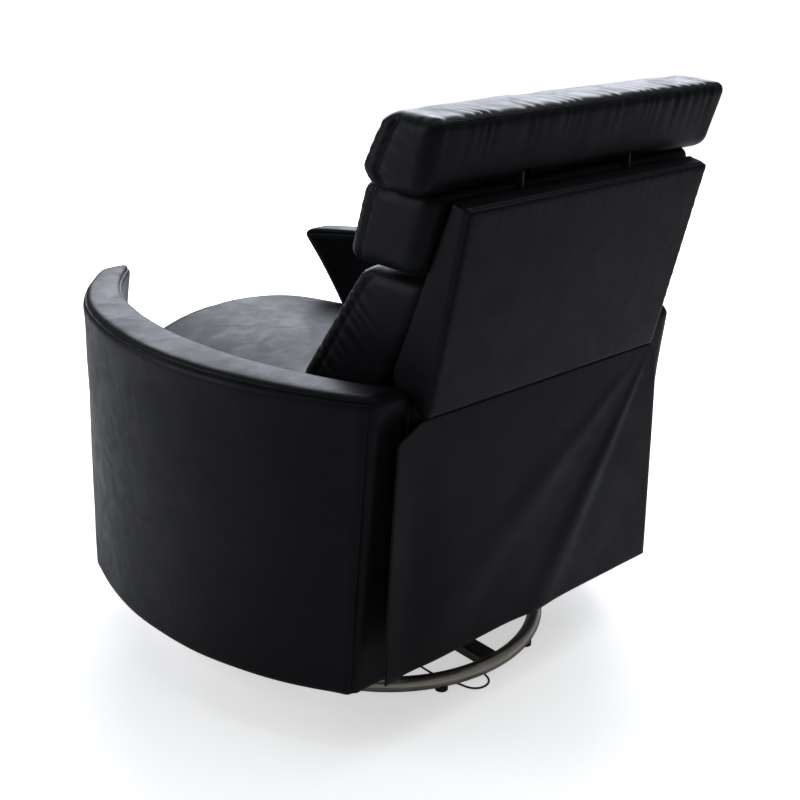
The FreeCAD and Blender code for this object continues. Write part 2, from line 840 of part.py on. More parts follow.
def make_shell():
    """Padded back board with two side wings, open at the front and below."""
    panel, wall, half = size("shell_panel"), size("shell_wall"), size("shell_half_width")
    top_depth, low_depth, rounding = read("shell_top_depth", "shell_low_depth", "shell_rounding")
    body = new_body("BackShell")
    outline = Drawing(body, "side")
    outer = [
        beside_shell(0, 0),
        beside_shell(1, 0),
        beside_shell(1, top_depth),
        beside_shell(0.11, low_depth),
        beside_shell(0, low_depth * 0.8),
    ]
    outline.polygon(side_points(outer))
    pad(body, outline, 2 * half, both_ways=True)
    hollow = Drawing(body, "side")
    inner = [
        beside_shell(0, panel.number, -30),
        beside_shell(1, panel.number, -wall.number),
        beside_shell(1, top_depth + 40, -wall.number),
        beside_shell(0, low_depth + 40, -30),
    ]
    hollow.polygon(side_points(inner))
    pocket(body, hollow, 2 * (half - wall), both_ways=True)
    up, out = lean()

    def back_edge(edge):
        centre = edge.CenterOfMass - beside_shell(0, 0)
        return abs(centre.dot(out)) < 0.1 and edge.Length > 100

    body.Tip = body.Group[-1]
    rounded(body, rounding, back_edge)
    return body


def upright_points(low_share, high_share, depth, thickness):
    return [
        beside_shell(low_share, depth),
        beside_shell(high_share, depth),
        beside_shell(high_share, depth + thickness),
        beside_shell(low_share, depth + thickness),
    ]


def upright_inside():
    """Inner face of the back's uprights, where the hinge brackets lie."""
    return size("panel_inside") - size("plate_steel") - size("plane_gap")


def make_back_frame():
    """Plywood uprights and rails inside the shell."""
    panel, thickness = read("shell_panel", "upright_thickness")
    upright = new_body("Upright")
    drawing = Drawing(upright, "side", upright_inside())
    drawing.polygon(side_points(upright_points(0.02, 0.94, panel, thickness)))
    pad(upright, drawing, size("upright_width"))
    rails = []
    beside_bracket = upright_inside() - size("plate_steel")
    for number, (share, half) in enumerate(
        ((0.03, beside_bracket), (0.45, upright_inside()), (0.83, upright_inside()))
    ):
        rail = new_body("BackRail%d" % number)
        drawing = Drawing(rail, "side")
        drawing.polygon(side_points(upright_points(share, share + 0.11, panel, thickness)))
        pad(rail, drawing, 2 * half, both_ways=True)
        rails.append(rail)
    return fuse("BackFrame", [upright, other_side(upright, "UprightMirror")] + rails)


def lever_spot():
    return size("hinge_y"), size("hinge_z") - size("lever_length")


def plane_low(number):
    """Low face of a linkage plane: plane 0 is the mechanism plate on the side panel."""
    step = size("plate_steel") + size("plane_gap")
    return size("panel_inside") - size("plate_steel") - number * step


def make_back_bracket():
    """Steel plate from the back's upright to the hinge, with a lever below the hinge."""
    body = new_body("BackBracket")
    drawing = Drawing(body, "side", plane_low(1))
    panel, thickness = read("shell_panel", "upright_thickness")
    high = beside_shell(0.33, panel + 1)
    low_rear = beside_shell(0.02, panel + 1)
    low_front = beside_shell(0.02, panel + thickness - 1)
    high_front = beside_shell(0.33, panel + thickness - 1)
    y, z = size("hinge_y"), size("hinge_z")
    reach = size("link_half_width") + 6
    bar_y, bar_z = lever_spot()
    drawing.polygon(
        [
            (bar_y - reach, bar_z - reach),
            (bar_y + reach, bar_z - reach),
            (y + reach + 4, z - 20),
            (low_rear.y, low_rear.z),
            (high.y, high.z),
            (high_front.y, high_front.z),
            (low_front.y, low_front.z),
            (y - reach - 4, z + 30),
            (y - reach - 4, z - 20),
        ]
    )
    drawing.circle(y, z, size("pivot_radius") + size("pivot_clearance"))
    drawing.circle(bar_y, bar_z, size("lever_bar_radius"))
    pad(body, drawing, size("plate_steel"))
    return both_sides("BackBrackets", body)


def make_lever_bar():
    """Tube between the two levers, which the back's drive pushes."""
    y, z = lever_spot()
    low = -1 * (plane_low(1) + size("plate_steel"))
    outer = rod("LeverBarOuter", size("lever_bar_radius"), -2 * low, low, y, z, ALONG_X)
    inner = rod("LeverBarBore", size("lever_bar_radius") - size("tube_wall"), -2 * low, low, y, z, ALONG_X)
    return cut("LeverBar", outer, inner)


def cushion_wire(x, corners, bulges, shrink):
    """Side profile of a cushion at one station: an arc between each pair of corners."""
    centre = FreeCAD.Vector(x, sum(y for y, z in corners) / len(corners), sum(z for y, z in corners) / len(corners))
    spots = []
    for y, z in corners:
        spot = FreeCAD.Vector(x, y, z)
        inward = centre - spot
        inward.normalize()
        spots.append(spot + inward * shrink)
    arcs = []
    for number, bulge in enumerate(bulges):
        start, end = spots[number], spots[(number + 1) % len(spots)]
        along = end - start
        out = FreeCAD.Vector(0, along.z, -along.y)
        out.normalize()
        arcs.append(Part.Arc(start, (start + end) * 0.5 + out * bulge, end).toShape())
    return Part.Wire(arcs)


def cushion(name, corners, bulges, half_width, softness, crown=6.0):
    """A stuffed block that is fullest in the middle and drawn in at both ends."""
    reach = 1.8 * softness
    stations = []
    for turn in (0, 24, 50, 72, 90):
        inset = reach * (1 - math.cos(math.radians(turn)))
        swell = math.sin(math.radians(turn))
        stations.append((half_width - inset, softness * (1 - swell), 0.2 + 0.8 * swell))
    stations.append((half_width * 0.45, -crown * 0.7, 1.0))
    stations.append((0.0, -crown, 1.0))
    stations += [(-x, shrink, swell) for x, shrink, swell in reversed(stations[:-1])]
    wires = [cushion_wire(x, corners, [bulge * swell for bulge in bulges], shrink) for x, shrink, swell in stations]
    return made(name, Part.makeLoft(wires, True, False))


def against_shell(name, blank):
    """Presses a cushion's rear face flat against the front edges of the shell's wings."""
    moved = back_shell.Shape.copy()
    moved.translate(lean()[1] * read("cushion_gap"))
    return made(name, blank.Shape.cut(moved))


def make_lumbar():
    """Lower back cushion, from just over the seat to the seam between the two."""
    corners = [(98, 474), (252, 486), (368, 644), (442, 804), (316, 806), (172, 606)]
    blank = cushion("LumbarBlank", corners, [4, 2, 0.05, 1.5, 12, 8], read("lumbar_half_width"), 26)
    return against_shell("LumbarCushion", blank)


def make_upper():
    """Upper back cushion, which stands on the lower one and ends under the headrest."""
    corners = [(318, 820), (445, 818), (493, 925), (366, 934)]
    blank = cushion("UpperBlank", corners, [1.5, 0.05, 1, 12], read("back_half_width"), 24)
    pressed = against_shell("UpperPressed", blank)
    slots = []
    width = size("head_pocket")
    rail = beside_shell(0.86, read("shell_top_depth"))
    for number, side in enumerate((-1, 1)):
        x = side * size("head_arm_x") - width / 2
        slots.append(block("ArmSlot%d" % number, x, rail.y - 34, rail.z - 6, width, 100, 100))
    return cut("UpperCushion", pressed, fuse("ArmSlots", slots))


back_shell = keep("back_shell", make_shell())
keep("back_frame", make_back_frame())
keep("back_brackets", make_back_bracket())
keep("back_lever_bar", make_lever_bar())
keep("lumbar_cushion", make_lumbar())
keep("upper_cushion", make_upper())

# Headrest


def make_head_arms():
    """Flat steel arms from the back's top rail to the headrest's pivot."""
    y, z = size("head_pivot_y"), size("head_pivot_z")
    panel, thickness, top_depth, bend = read(
        "shell_panel", "upright_thickness", "shell_top_depth", "head_arm_bend"
    )
    rail_low = beside_shell(0.86, panel + thickness)
    rail_top = beside_shell(0.92, panel + thickness)
    past_wall = beside_shell(0.94, top_depth + 2)
    reach = size("head_arm_height") / 2 + 2
    strap = size("head_arm_height")
    body = new_body("HeadArm")
    drawing = Drawing(body, "side", size("head_arm_x") - size("head_arm_thickness") / 2)
    drawing.polygon(
        [
            (rail_low.y, rail_low.z),
            (rail_top.y, rail_top.z),
            (past_wall.y, past_wall.z),
            (past_wall.y, bend + strap),
            (y, z + reach),
            (y - reach, z),
            (y, z - reach),
            (past_wall.y - strap, bend),
            (rail_low.y - strap, rail_low.z),
        ]
    )
    drawing.circle(y, z, size("head_pin_radius") + size("pivot_clearance"))
    pad(body, drawing, size("head_arm_thickness"))
    return both_sides("HeadArms", body)


def make_headrest():
    """Headrest roll, slotted from below for the two arms that carry it."""
    y, z, half, roll = read("head_pivot_y", "head_pivot_z", "head_half_width", "head_roll")
    corners = [(y + 2, z - roll), (492, 947), (517, 1030), (412, 1037), (y - roll, z + 4)]
    blank = cushion("HeadrestBlank", corners, [0.5, 4, 12, 8, 6.5], half, 26, 3)
    slots = []
    width = size("head_pocket")
    for number, side in enumerate((-1, 1)):
        x = side * size("head_arm_x") - width / 2
        slots.append(block("HeadSlot%d" % number, x, y - 14, z - 60, width, 200, 60 + 14))
    return cut("Headrest", blank, fuse("HeadSlots", slots))


def make_head_pins():
    pins = []
    for number, side in enumerate((-1, 1)):
        x = side * size("head_arm_x") - size("head_pocket") / 2
        pins.append(
            rod(
                "HeadPin%d" % number, size("head_pin_radius"), size("head_pocket"),
                x, size("head_pivot_y"), size("head_pivot_z"), ALONG_X,
            )
        )
    return group("HeadPins", pins)


keep("headrest_arms", make_head_arms())
keep("headrest", make_headrest())
keep("headrest_pins", make_head_pins())

# Footrest linkage


def direction(angle):
    """Unit vector in the side view for an angle measured upward from straight ahead."""
    turn = math.radians(angle)
    return FreeCAD.Vector(0, -math.cos(turn), math.sin(turn))


def angle_of(vector):
    return math.degrees(math.atan2(vector.z, -vector.y))


def equal_reach(points, starts, ways):
    """Distance along two rays at which each lies equally far from its own fixed point."""
    offsets = [point - start for point, start in zip(points, starts)]
    gain = offsets[0].dot(ways[0]) - offsets[1].dot(ways[1])
    return (offsets[0].dot(offsets[0]) - offsets[1].dot(offsets[1])) / (2 * gain)


def linkage():
    """Pivots of the footrest's links, stowed and fully open, worked out so that both close."""
    rear = FreeCAD.Vector(0, *read("rear_pivot_y", "rear_pivot_z"))
    front = FreeCAD.Vector(0, *read("front_pivot_y", "front_pivot_z"))
    rear_link, long_link, extension = read("rear_link", "long_link", "front_extension")
    rear_angles = read("rear_stowed", "rear_open")
    long_angles = read("long_stowed", "long_open")
    board_angles = read("board_stowed", "board_open")
    knees = [rear + direction(angle) * rear_link for angle in rear_angles]
    boards = [knee + direction(angle) * long_link for knee, angle in zip(knees, long_angles)]
    along = [direction(angle) for angle in long_angles]
    crossing_reach = equal_reach([front, front], knees, along)
    crossings = [knee + way * crossing_reach for knee, way in zip(knees, along)]
    front_link = (crossings[0] - front).Length
    front_angles = [angle_of(crossing - front) for crossing in crossings]
    ends = [front + direction(angle) * (front_link + extension) for angle in front_angles]
    board_ways = [direction(angle) for angle in board_angles]
    foot_reach = equal_reach(ends, boards, board_ways)
    feet = [board + way * foot_reach for board, way in zip(boards, board_ways)]
    short_angles = [angle_of(foot - end) for foot, end in zip(feet, ends)]
    return {
        "knee": knees[0], "board": boards[0], "crossing": crossings[0], "end": ends[0], "foot": feet[0],
        "rear": rear, "front": front, "front_link": front_link, "front_angles": front_angles,
        "short_link": (feet[0] - ends[0]).Length, "short_angles": short_angles,
        "crossing_reach": crossing_reach, "foot_reach": foot_reach,
    }


PIVOTS = linkage()


def make_link(name, length, plane, start, angle, holes):
    """One flat link on the +X side, drawn along its own Y axis and then put in place."""
    body = new_body(name)
    drawing = Drawing(body, "side", plane_low(plane))
    drawing.slot(length, size("link_half_width"))
    for reach in holes:
        drawing.circle(reach, 0, size("pivot_radius") + size("pivot_clearance"))
    pad(body, drawing, size("plate_steel"))
    turn = FreeCAD.Rotation(FreeCAD.Vector(1, 0, 0), 180 - angle)
    body.Placement = FreeCAD.Placement(start, turn)
    return body


def make_pin(name, spot, high_plane, low_plane):
    """A rivet: its shaft runs from the high plane's plate to a head below the low plane's plate."""
    high = plane_low(high_plane) + size("plate_steel")
    low = plane_low(low_plane) - size("running_gap") - size("pivot_head")
    shaft = rod(name + "Shaft", size("pivot_radius"), high - low, low, spot.y, spot.z, ALONG_X)
    head = rod(name + "Head", size("pivot_head_radius"), size("pivot_head"), low, spot.y, spot.z, ALONG_X)
    return fuse(name, [shaft, head])


def make_stub(name, spot, plane):
    """A short stud on a link's inner face, which stops just short of the link beside it."""
    high = plane_low(plane)
    length = size("plane_gap") - size("running_gap")
    return rod(name, size("pivot_radius"), length, high - length, spot.y, spot.z, ALONG_X)


def make_mechanism_plate():
    """Steel plate on each side panel that carries the link pivots and the back's hinge."""
    body = new_body("MechanismPlate")
    drawing = Drawing(body, "side", plane_low(0))
    rear_y, rear_z = size("rear_pivot_y"), size("rear_pivot_z")
    front_y, front_z = size("front_pivot_y"), size("front_pivot_z")
    y, z = size("hinge_y"), size("hinge_z")
    ear = size("link_half_width") + 10
    low = rear_z - 46
    panel_top = size("deck_height") - size("front_rail_height") - 4
    drawing.polygon(
        [
            (front_y - 22, front_z - 26),
            (front_y - 22, panel_top),
            (size("rear_rail_y"), panel_top),
            (y - ear, z + ear),
            (y + ear, z + ear),
            (y + ear, z - ear),
            (size("rear_rail_y"), low),
            (rear_y - 26, low),
        ]
    )
    for pivot_y, pivot_z in ((rear_y, rear_z), (front_y, front_z), (y, z)):
        drawing.circle(pivot_y, pivot_z, size("pivot_radius"))
    pad(body, drawing, size("plate_steel"))
    rounded(body, 8, lambda edge: runs_along(edge, (1, 0, 0)))
    return both_sides("MechanismPlates", body)


def make_chair_pins():
    hinge = FreeCAD.Vector(0, *read("hinge_y", "hinge_z"))
    pins = [
        make_pin("RearPivot", PIVOTS["rear"], 0, 1),
        make_pin("FrontPivot", PIVOTS["front"], 0, 1),
        make_pin("BackPivot", hinge, 0, 1),
    ]
    return both_sides("ChairPins", group("ChairPinSet", pins))


def make_torque_tube():
    """Square tube on the pivots' axis, welded across between the two rear links."""
    body = new_body("TorqueTube")
    drawing = Drawing(body, "side")
    half = size("torque_side") / 2
    inner = half - size("tube_wall")
    drawing.rectangle(-half, -half, half, half)
    drawing.rectangle(-inner, -inner, inner, inner)
    pad(body, drawing, 2 * plane_low(1), both_ways=True)
    turn = FreeCAD.Rotation(FreeCAD.Vector(1, 0, 0), 180 - read("rear_stowed"))
    body.Placement = FreeCAD.Placement(PIVOTS["rear"], turn)
    return body


def lever_end(share):
    """End of the drive levers, at a share of the footrest's travel."""
    stowed, opened, turn = read("rear_stowed", "rear_open", "lever_turn")
    angle = stowed + share * (opened - stowed) + turn
    return PIVOTS["rear"] + direction(angle) * read("lever_radius")


def make_levers():
    """Pair of plates on the torque tube, with a bar between their ends."""
    body = new_body("DriveLever")
    half = size("torque_side") / 2
    collar = half + 7
    turn = math.radians(read("lever_turn"))
    end_y, end_z = size("lever_radius") * math.cos(turn), size("lever_radius") * -math.sin(turn)
    eye = size("link_half_width")
    drawing = Drawing(body, "side", size("lever_spacing"))
    drawing.polygon(
        [
            (-collar, -collar),
            (collar, -collar),
            (end_y + eye, end_z - eye * 0.7),
            (end_y + eye, end_z + eye * 0.7),
            (end_y - eye * 0.5, end_z + eye),
            (-collar, collar),
        ]
    )
    drawing.rectangle(-half, -half, half, half)
    drawing.circle(end_y, end_z, size("leg_bar_radius"))
    pad(body, drawing, size("plate_steel"))
    body.Placement = FreeCAD.Placement(
        PIVOTS["rear"], FreeCAD.Rotation(FreeCAD.Vector(1, 0, 0), 180 - read("rear_stowed"))
    )
    return both_sides("DriveLevers", body)


def make_leg_bar():
    """Bar between the drive levers, which the footrest's drive pushes."""
    spot = lever_end(0)
    half = size("lever_spacing") + size("plate_steel")
    return rod("LegBar", size("leg_bar_radius"), 2 * half, -half, spot.y, spot.z, ALONG_X)


rear_link = make_link(
    "RearLink", size("rear_link"), 1, PIVOTS["rear"], read("rear_stowed"), (0, size("rear_link"))
)
long_link = make_link(
    "LongLink", size("long_link"), 2, PIVOTS["knee"], read("long_stowed"), (0, size("long_link"))
)
front_length = PIVOTS["front_link"] + size("front_extension")
front_link = make_link(
    "FrontLink", front_length, 1, PIVOTS["front"], PIVOTS["front_angles"][0], (0, front_length)
)
short_link = make_link(
    "ShortLink", PIVOTS["short_link"], 2, PIVOTS["end"], PIVOTS["short_angles"][0], (0,)
)
keep("mechanism_plates", make_mechanism_plate())
keep("chair_pivot_pins", make_chair_pins())
keep("rear_links", both_sides("RearLinks", rear_link))
keep("rear_link_pins", both_sides("KneePins", make_pin("KneePin", PIVOTS["knee"], 1, 2)))
keep("torque_tube", make_torque_tube())
keep("drive_levers", make_levers())
keep("drive_lever_bar", make_leg_bar())
keep("long_links", both_sides("LongLinks", long_link))
keep("long_link_pins", both_sides("BoardPins", make_pin("BoardPin", PIVOTS["board"], 2, 3)))
keep("front_links", both_sides("FrontLinks", front_link))
front_pins = group(
    "FrontPinSet",
    [make_pin("EndPin", PIVOTS["end"], 1, 2), make_stub("CrossingStub", PIVOTS["crossing"], 1)],
)
keep("front_link_pins", both_sides("FrontPins", front_pins))
keep("short_links", both_sides("ShortLinks", short_link))
keep("short_link_studs", both_sides("FootStubs", make_stub("FootStub", PIVOTS["foot"], 2)))


# Footrest


def board_spot(reach, forward):
    """A point of the stowed footrest: a reach up along it from its upper pivot, and forward of it."""
    angle = read("board_stowed")
    return PIVOTS["board"] + direction(angle) * reach + direction(angle - 90) * forward


def make_foot_brackets():
    body = new_body("FootBracket")
    drawing = Drawing(body, "side", plane_low(3))
    depth = read("bracket_depth")
    half = read("link_half_width")
    foot = PIVOTS["foot_reach"]
    corners = [
        board_spot(foot - half - 6, depth),
        board_spot(foot - half, -half * 0.6),
        board_spot(foot + half, -half),
        board_spot(half, -half),
        board_spot(half + 30, depth),
    ]
    drawing.polygon(side_points(corners))
    pivot = PIVOTS["board"]
    drawing.circle(pivot.y, pivot.z, size("pivot_radius") + size("pivot_clearance"))
    pad(body, drawing, size("plate_steel"))
    return both_sides("FootBrackets", body)


def make_foot_board():
    """Plywood board behind the footrest's pad."""
    low, high, depth, thickness = read("board_low", "board_high", "bracket_depth", "board_thickness")
    body = new_body("FootBoard")
    drawing = Drawing(body, "side")
    corners = [
        board_spot(low, depth), board_spot(low, depth + thickness),
        board_spot(high, depth + thickness), board_spot(high, depth),
    ]
    drawing.polygon(side_points(corners))
    pad(body, drawing, 2 * size("board_half_width"), both_ways=True)
    return body


def make_foot_pad():
    """Padded face of the footrest, wrapped a little way over the board's edges."""
    low, high, depth, thickness = read("board_low", "board_high", "bracket_depth", "board_thickness")
    pad_depth, edge, half = read("foot_pad", "foot_pad_edge", "board_half_width")
    back = depth + thickness
    corners = [
        board_spot(low - 4, back), board_spot(high + 4, back),
        board_spot(high, back + edge), board_spot(low, back + edge),
    ]
    blank = cushion("FootPadBlank", side_points(corners), [0.05, 5, pad_depth - edge, 5], half + 8, 16, 0)
    return made("FootPad", blank.Shape.cut(foot_board.Shape))


keep("foot_brackets", make_foot_brackets())
foot_board = keep("foot_board", make_foot_board())
keep("foot_pad", make_foot_pad())

# Drives


def make_motor(name, x, front, z, under):
    """Gear housing round the end of the drive's rail, with the motor's can beside it."""
    length, width, height = size("motor_length"), size("motor_width"), size("motor_height")
    body = new_body(name)
    drawing = Drawing(body, "front", -1 * (front + length))
    half = width / 2
    drawing.rectangle(x - half, z - height / 2, x + half, z + height / 2)
    pad(body, drawing, length * 0.45)
    rounded(body, 7, lambda edge: runs_along(edge, (0, 1, 0)))
    radius = height * 0.45
    can = document.addObject("Part::Cylinder", name + "Can")
    bind(can, {"Radius": radius, "Height": length})
    can.Placement.Rotation = FreeCAD.Rotation(FreeCAD.Vector(1, 0, 0), -90)
    bind(can, {"Placement.Base.x": x, "Placement.Base.y": front, "Placement.Base.z": z + under})
    return fuse(name + "Whole", [body, can])


def make_drive_rail(name, x, front, rear, z):
    width, height = size("rod_width"), size("rod_height")
    return block(name, x - width / 2, front, z - height / 2, width, rear - front, height)


def drive_block_shape(name, x, y, z):
    """Sliding block with a square hole for its rail."""
    length, wall, gap = size("block_length"), size("block_wall"), size("block_gap")
    hole_width, hole_height = size("rod_width") + 2 * gap, size("rod_height") + 2 * gap
    width, height = hole_width + 2 * wall, hole_height + 2 * wall
    body = new_body(name)
    drawing = Drawing(body, "front", -1 * (y + length / 2))
    drawing.rectangle(x - width / 2, z - height / 2, x + width / 2, z + height / 2)
    drawing.rectangle(x - hole_width / 2, z - hole_height / 2, x + hole_width / 2, z + hole_height / 2)
    pad(body, drawing, length)
    return body, width, height


def forked_block(name, x, y, z, reach, high):
    """A drive's block whose two prongs stand on either side of a bar."""
    body, width, height = drive_block_shape(name, x, y, z)
    prong, half = size("fork_prong"), size("fork_width") / 2
    low = z + height / 2
    prongs = [
        block(name + "Front", x - half, y - reach - prong, low, 2 * half, prong, high - low),
        block(name + "Rear", x - half, y + reach, low, 2 * half, prong, high - low),
    ]
    return fuse(name + "Whole", [body] + prongs)


def make_leg_block():
    """The footrest's block: its fork is open upward, so the bar can rise and fall in it."""
    spot = lever_end(0)
    reach = size("leg_bar_radius") + size("leg_fork_slack")
    high = max(spot.z, lever_end(1).z) + size("leg_bar_radius") + 4
    return forked_block("LegBlock", 0, spot.y, size("leg_drive_z"), reach, high)


def make_leg_supports():
    """Bracket from the rear tube to the motor, and a post from the front tube to the rail."""
    low = cross_tube_low()
    high = low + size("tube_side")
    tube_face = size("rear_tube_y") - size("tube_side") / 2
    motor_rear = size("motor_front") + size("motor_length")
    z = size("leg_drive_z")
    body = new_body("DriveBracket")
    drawing = Drawing(body, "side")
    drawing.polygon(
        [
            (tube_face, low + 2),
            (tube_face, high),
            (motor_rear + 8, z + 8),
            (motor_rear, z + 8),
            (motor_rear, z - 16),
            (tube_face - 10, low + 2),
        ]
    )
    pad(body, drawing, size("rod_width"), both_ways=True)
    width = size("rod_width")
    post_low = high
    rail_low = z - size("rod_height") / 2
    post = block(
        "DrivePost", -1 * (width / 2), size("front_tube_y") - 9, post_low, width, 18, rail_low - post_low
    )
    return [body, post]


def make_back_block():
    """The back's block, with its fork round the lever bar."""
    y, z = lever_spot()
    reach = size("lever_bar_radius") + size("fork_slack")
    high = z + size("lever_bar_radius") + size("fork_rise")
    return forked_block("BackBlock", size("back_drive_x"), y, size("back_drive_z"), reach, high)


def make_back_hanger():
    """Hanger from the rear rail down to the back drive's rail."""
    x, width = size("back_drive_x"), size("rod_width")
    low = size("back_drive_z") + size("rod_height") / 2
    high = size("deck_height") - size("rear_rail_height")
    depth = size("rail_depth")
    return block(
        "BackHanger", x - width / 2, size("rear_rail_y") - depth / 2, low, width, depth, high - low
    )


motor_front = size("motor_front")
leg_rail_front = size("front_tube_y") - size("leg_rail_reach")
back_rail_rear = size("hinge_y") + size("back_rail_reach")
back_front = size("back_motor_front")
keep("leg_motor", make_motor("LegMotor", size("leg_drive_x"), motor_front, size("leg_drive_z"), -20))
keep("leg_drive_rail", make_drive_rail("LegRail", 0, leg_rail_front, motor_front, size("leg_drive_z")))
keep("leg_drive_block", make_leg_block())
back_can = make_motor("BackMotor", size("back_drive_x"), back_front, size("back_drive_z"), 18)
keep("back_motor", back_can)
back_rail_front = back_front + size("motor_length")
keep("back_drive_rail", make_drive_rail(
    "BackRail", size("back_drive_x"), back_rail_front, back_rail_rear, size("back_drive_z")))
keep("drive_supports", group("DriveSupports", make_leg_supports() + [make_back_hanger()]))
keep("back_drive_block", make_back_block())

# Loose skirt that hangs from the shell's lower seam


def skirt_wire(share):
    """Closed plan outline of the skirt at a share of the way down: shallow folds that deepen below."""
    bottom_y, bottom_z, thickness, half, flare, fold = read(
        "skirt_bottom_y", "skirt_bottom_z", "skirt_thickness", "skirt_half_width", "skirt_flare", "skirt_fold"
    )
    seam = beside_shell(0, read("shell_rounding") + 1)
    top_y, top_z = seam.y - thickness, seam.z - read("running_gap")
    y = top_y + (bottom_y - top_y) * share
    z = top_z + (bottom_z - top_z) * share
    reach = half + flare * share ** 1.3
    depth = fold * share
    xs = [-reach, -reach * 0.5, reach * 0.05, reach * 0.55, reach]
    swings = [depth, -depth * 0.6, depth * 0.9, -depth * 0.5]
    outer, inner = [], []
    for left, right, swing in zip(xs, xs[1:], swings):
        centre = (left + right) / 2
        for edge, offset in ((outer, thickness), (inner, 0)):
            start = FreeCAD.Vector(left, y + offset, z)
            middle = FreeCAD.Vector(centre, y + offset + swing + 0.05, z)
            end = FreeCAD.Vector(right, y + offset, z)
            edge.append((start, middle, end))
    curves = [Part.Arc(*points) for points in outer]
    curves.append(Part.LineSegment(outer[-1][2], inner[-1][2]))
    curves += [Part.Arc(*reversed(points)) for points in reversed(inner)]
    curves.append(Part.LineSegment(inner[0][0], outer[0][0]))
    return Part.Wire([curve.toShape() for curve in curves])


def make_skirt():
    return made("BackSkirt", Part.makeLoft([skirt_wire(share) for share in (0, 0.35, 0.7, 1)], True, True))


keep("back_skirt", make_skirt())

# Power lead from the hub, over the floor, to its coil and connector


def lead_height():
    return read("lead_diameter") / 2 + read("running_gap")


def lead_route():
    """Points of the lead: down from the hub, out under the ring round a small loop, and back in."""
    swivel, lift = read("swivel_y"), lead_height()
    exit_reach = (read("hub_radius") + read("gland_length")) * math.sqrt(0.5)
    leaving = read("gland_height") - lift
    from_axis = [
        (exit_reach, exit_reach, leaving), (exit_reach + 11, exit_reach + 11, leaving), (58, 60, 9.5),
        (68, 76, 2.2), (77, 99, 0), (85, 136, 0), (93, 182, 0), (93, 226, 0), (85, 259, 0), (78, 281, 0), (74, 300, 0),
        (62, 313, 0), (45, 316, 0), (30, 309, 0), (23, 294, 0), (20, 276, 0), (9, 249, 0), (-13, 213, 0),
        (-44, 176, 0), (-78, 135, 0), (-110, 85, 0), (-134, 30, 0), (-151, -27, 0), (-159, -84, 0),
    ]
    return [FreeCAD.Vector(x, swivel + y, lift + z) for x, y, z in from_axis]


def arc_between(start, way, end):
    """The arc that leaves the start along the given way and reaches the end."""
    chord = end - start
    ahead = FreeCAD.Vector(chord)
    ahead.normalize()
    side = way - ahead * way.dot(ahead)
    turn = way.getAngle(ahead)
    if side.Length < 1e-9:
        return Part.LineSegment(start, end)
    side.normalize()
    return Part.Arc(start, (start + end) * 0.5 + side * (chord.Length / 2 * math.tan(turn / 2)), end)


def rounded_route(points):
    """Straight runs joined by tangent arcs, each as large as its two runs allow."""
    curves, radii = [], []
    here = points[0]
    for before, corner, after in zip(points, points[1:], points[2:]):
        inward, outward = corner - before, after - corner
        setback = 0.45 * min(inward.Length, outward.Length)
        inward.normalize()
        outward.normalize()
        first, last = corner - inward * setback, corner + outward * setback
        radii.append(setback / math.tan(inward.getAngle(outward) / 2))
        curves += [Part.LineSegment(here, first), arc_between(first, inward, last)]
        here = last
    curves.append(Part.LineSegment(here, points[-1]))
    return curves, radii


def swept(curves, name):
    """An eight-sided cord along the curves, whose volume is compared with its length."""
    start = curves[0].value(curves[0].FirstParameter)
    way = curves[0].tangent(curves[0].FirstParameter)[0]
    aside = way.cross(FreeCAD.Vector(0, 0, 1))
    aside.normalize()
    above = aside.cross(way)
    radius, sides = read("lead_diameter") / 2, count("lead_sides")
    ring = []
    for number in range(sides + 1):
        turn = 2 * math.pi * (number + 0.5) / sides
        ring.append(start + aside * (radius * math.cos(turn)) + above * (radius * math.sin(turn)))
    path = Part.Wire([curve.toShape() for curve in curves])
    tube = path.makePipeShell([Part.makePolygon(ring)], True, False)
    section = sides / 2 * radius * radius * math.sin(2 * math.pi / sides)
    print("%s: %.0f mm long, volume %.4f of its section times its length" % (
        name, path.Length, tube.Volume / section / path.Length))
    return tube


def biarc(start, start_way, end, end_way):
    """Two arcs that join a pair of points along their ways."""
    across = end - start
    ways = start_way + end_way
    spread = 2 * (1 - start_way.dot(end_way))
    along = across.dot(ways)
    reach = (math.sqrt(along * along + spread * across.dot(across)) - along) / spread
    middle = (start + end + (start_way - end_way) * reach) * 0.5
    middle_way = end - end_way * reach - start - start_way * reach
    middle_way.normalize()
    return [arc_between(start, start_way, middle), arc_between(middle, middle_way, end)]


def coil_curves():
    """Loops that spiral in on the floor and out again on top, from the end of the lead."""
    points = lead_route()
    way = points[-1] - points[-2]
    way.normalize()
    left = FreeCAD.Vector(-way.y, way.x, 0)
    diameter, pitch, turns, middle_radius = read("lead_diameter", "coil_pitch", "coil_turns", "coil_radius")
    half_turns = int(round(2 * turns))
    step = pitch / 2
    outer = middle_radius + step * (half_turns - 1) / 2
    radii = [outer - step * number for number in range(half_turns)]
    radii = radii + [radii[-1] - step] + radii[::-1]
    start = points[-1]
    here = start + way * diameter
    curves = [Part.LineSegment(start, here)]
    for number, radius in enumerate(radii):
        rise = FreeCAD.Vector(0, 0, pitch if number == half_turns else 0)
        there = here + left * (2 * radius) + rise
        curves += biarc(here, way, there, way * -1)
        here, way, left = there, way * -1, left * -1
    end = here + way * read("plug_lead")
    curves.append(Part.LineSegment(here, end))
    return curves, end, way


def least_gap(curves, diameter):
    """The smallest clear distance between stretches of the cord that aren't neighbours."""
    spots, reach = [], [0.0]
    for curve in curves:
        shape = curve.toShape()
        spots += shape.discretize(Number=9)[:-1]
    for first, second in zip(spots, spots[1:]):
        reach.append(reach[-1] + (second - first).Length)
    gap = float("inf")
    for first, spot in enumerate(spots):
        for second in range(first + 1, len(spots)):
            if reach[second] - reach[first] > 6 * diameter:
                gap = min(gap, (spots[second] - spot).Length - diameter)
    return gap


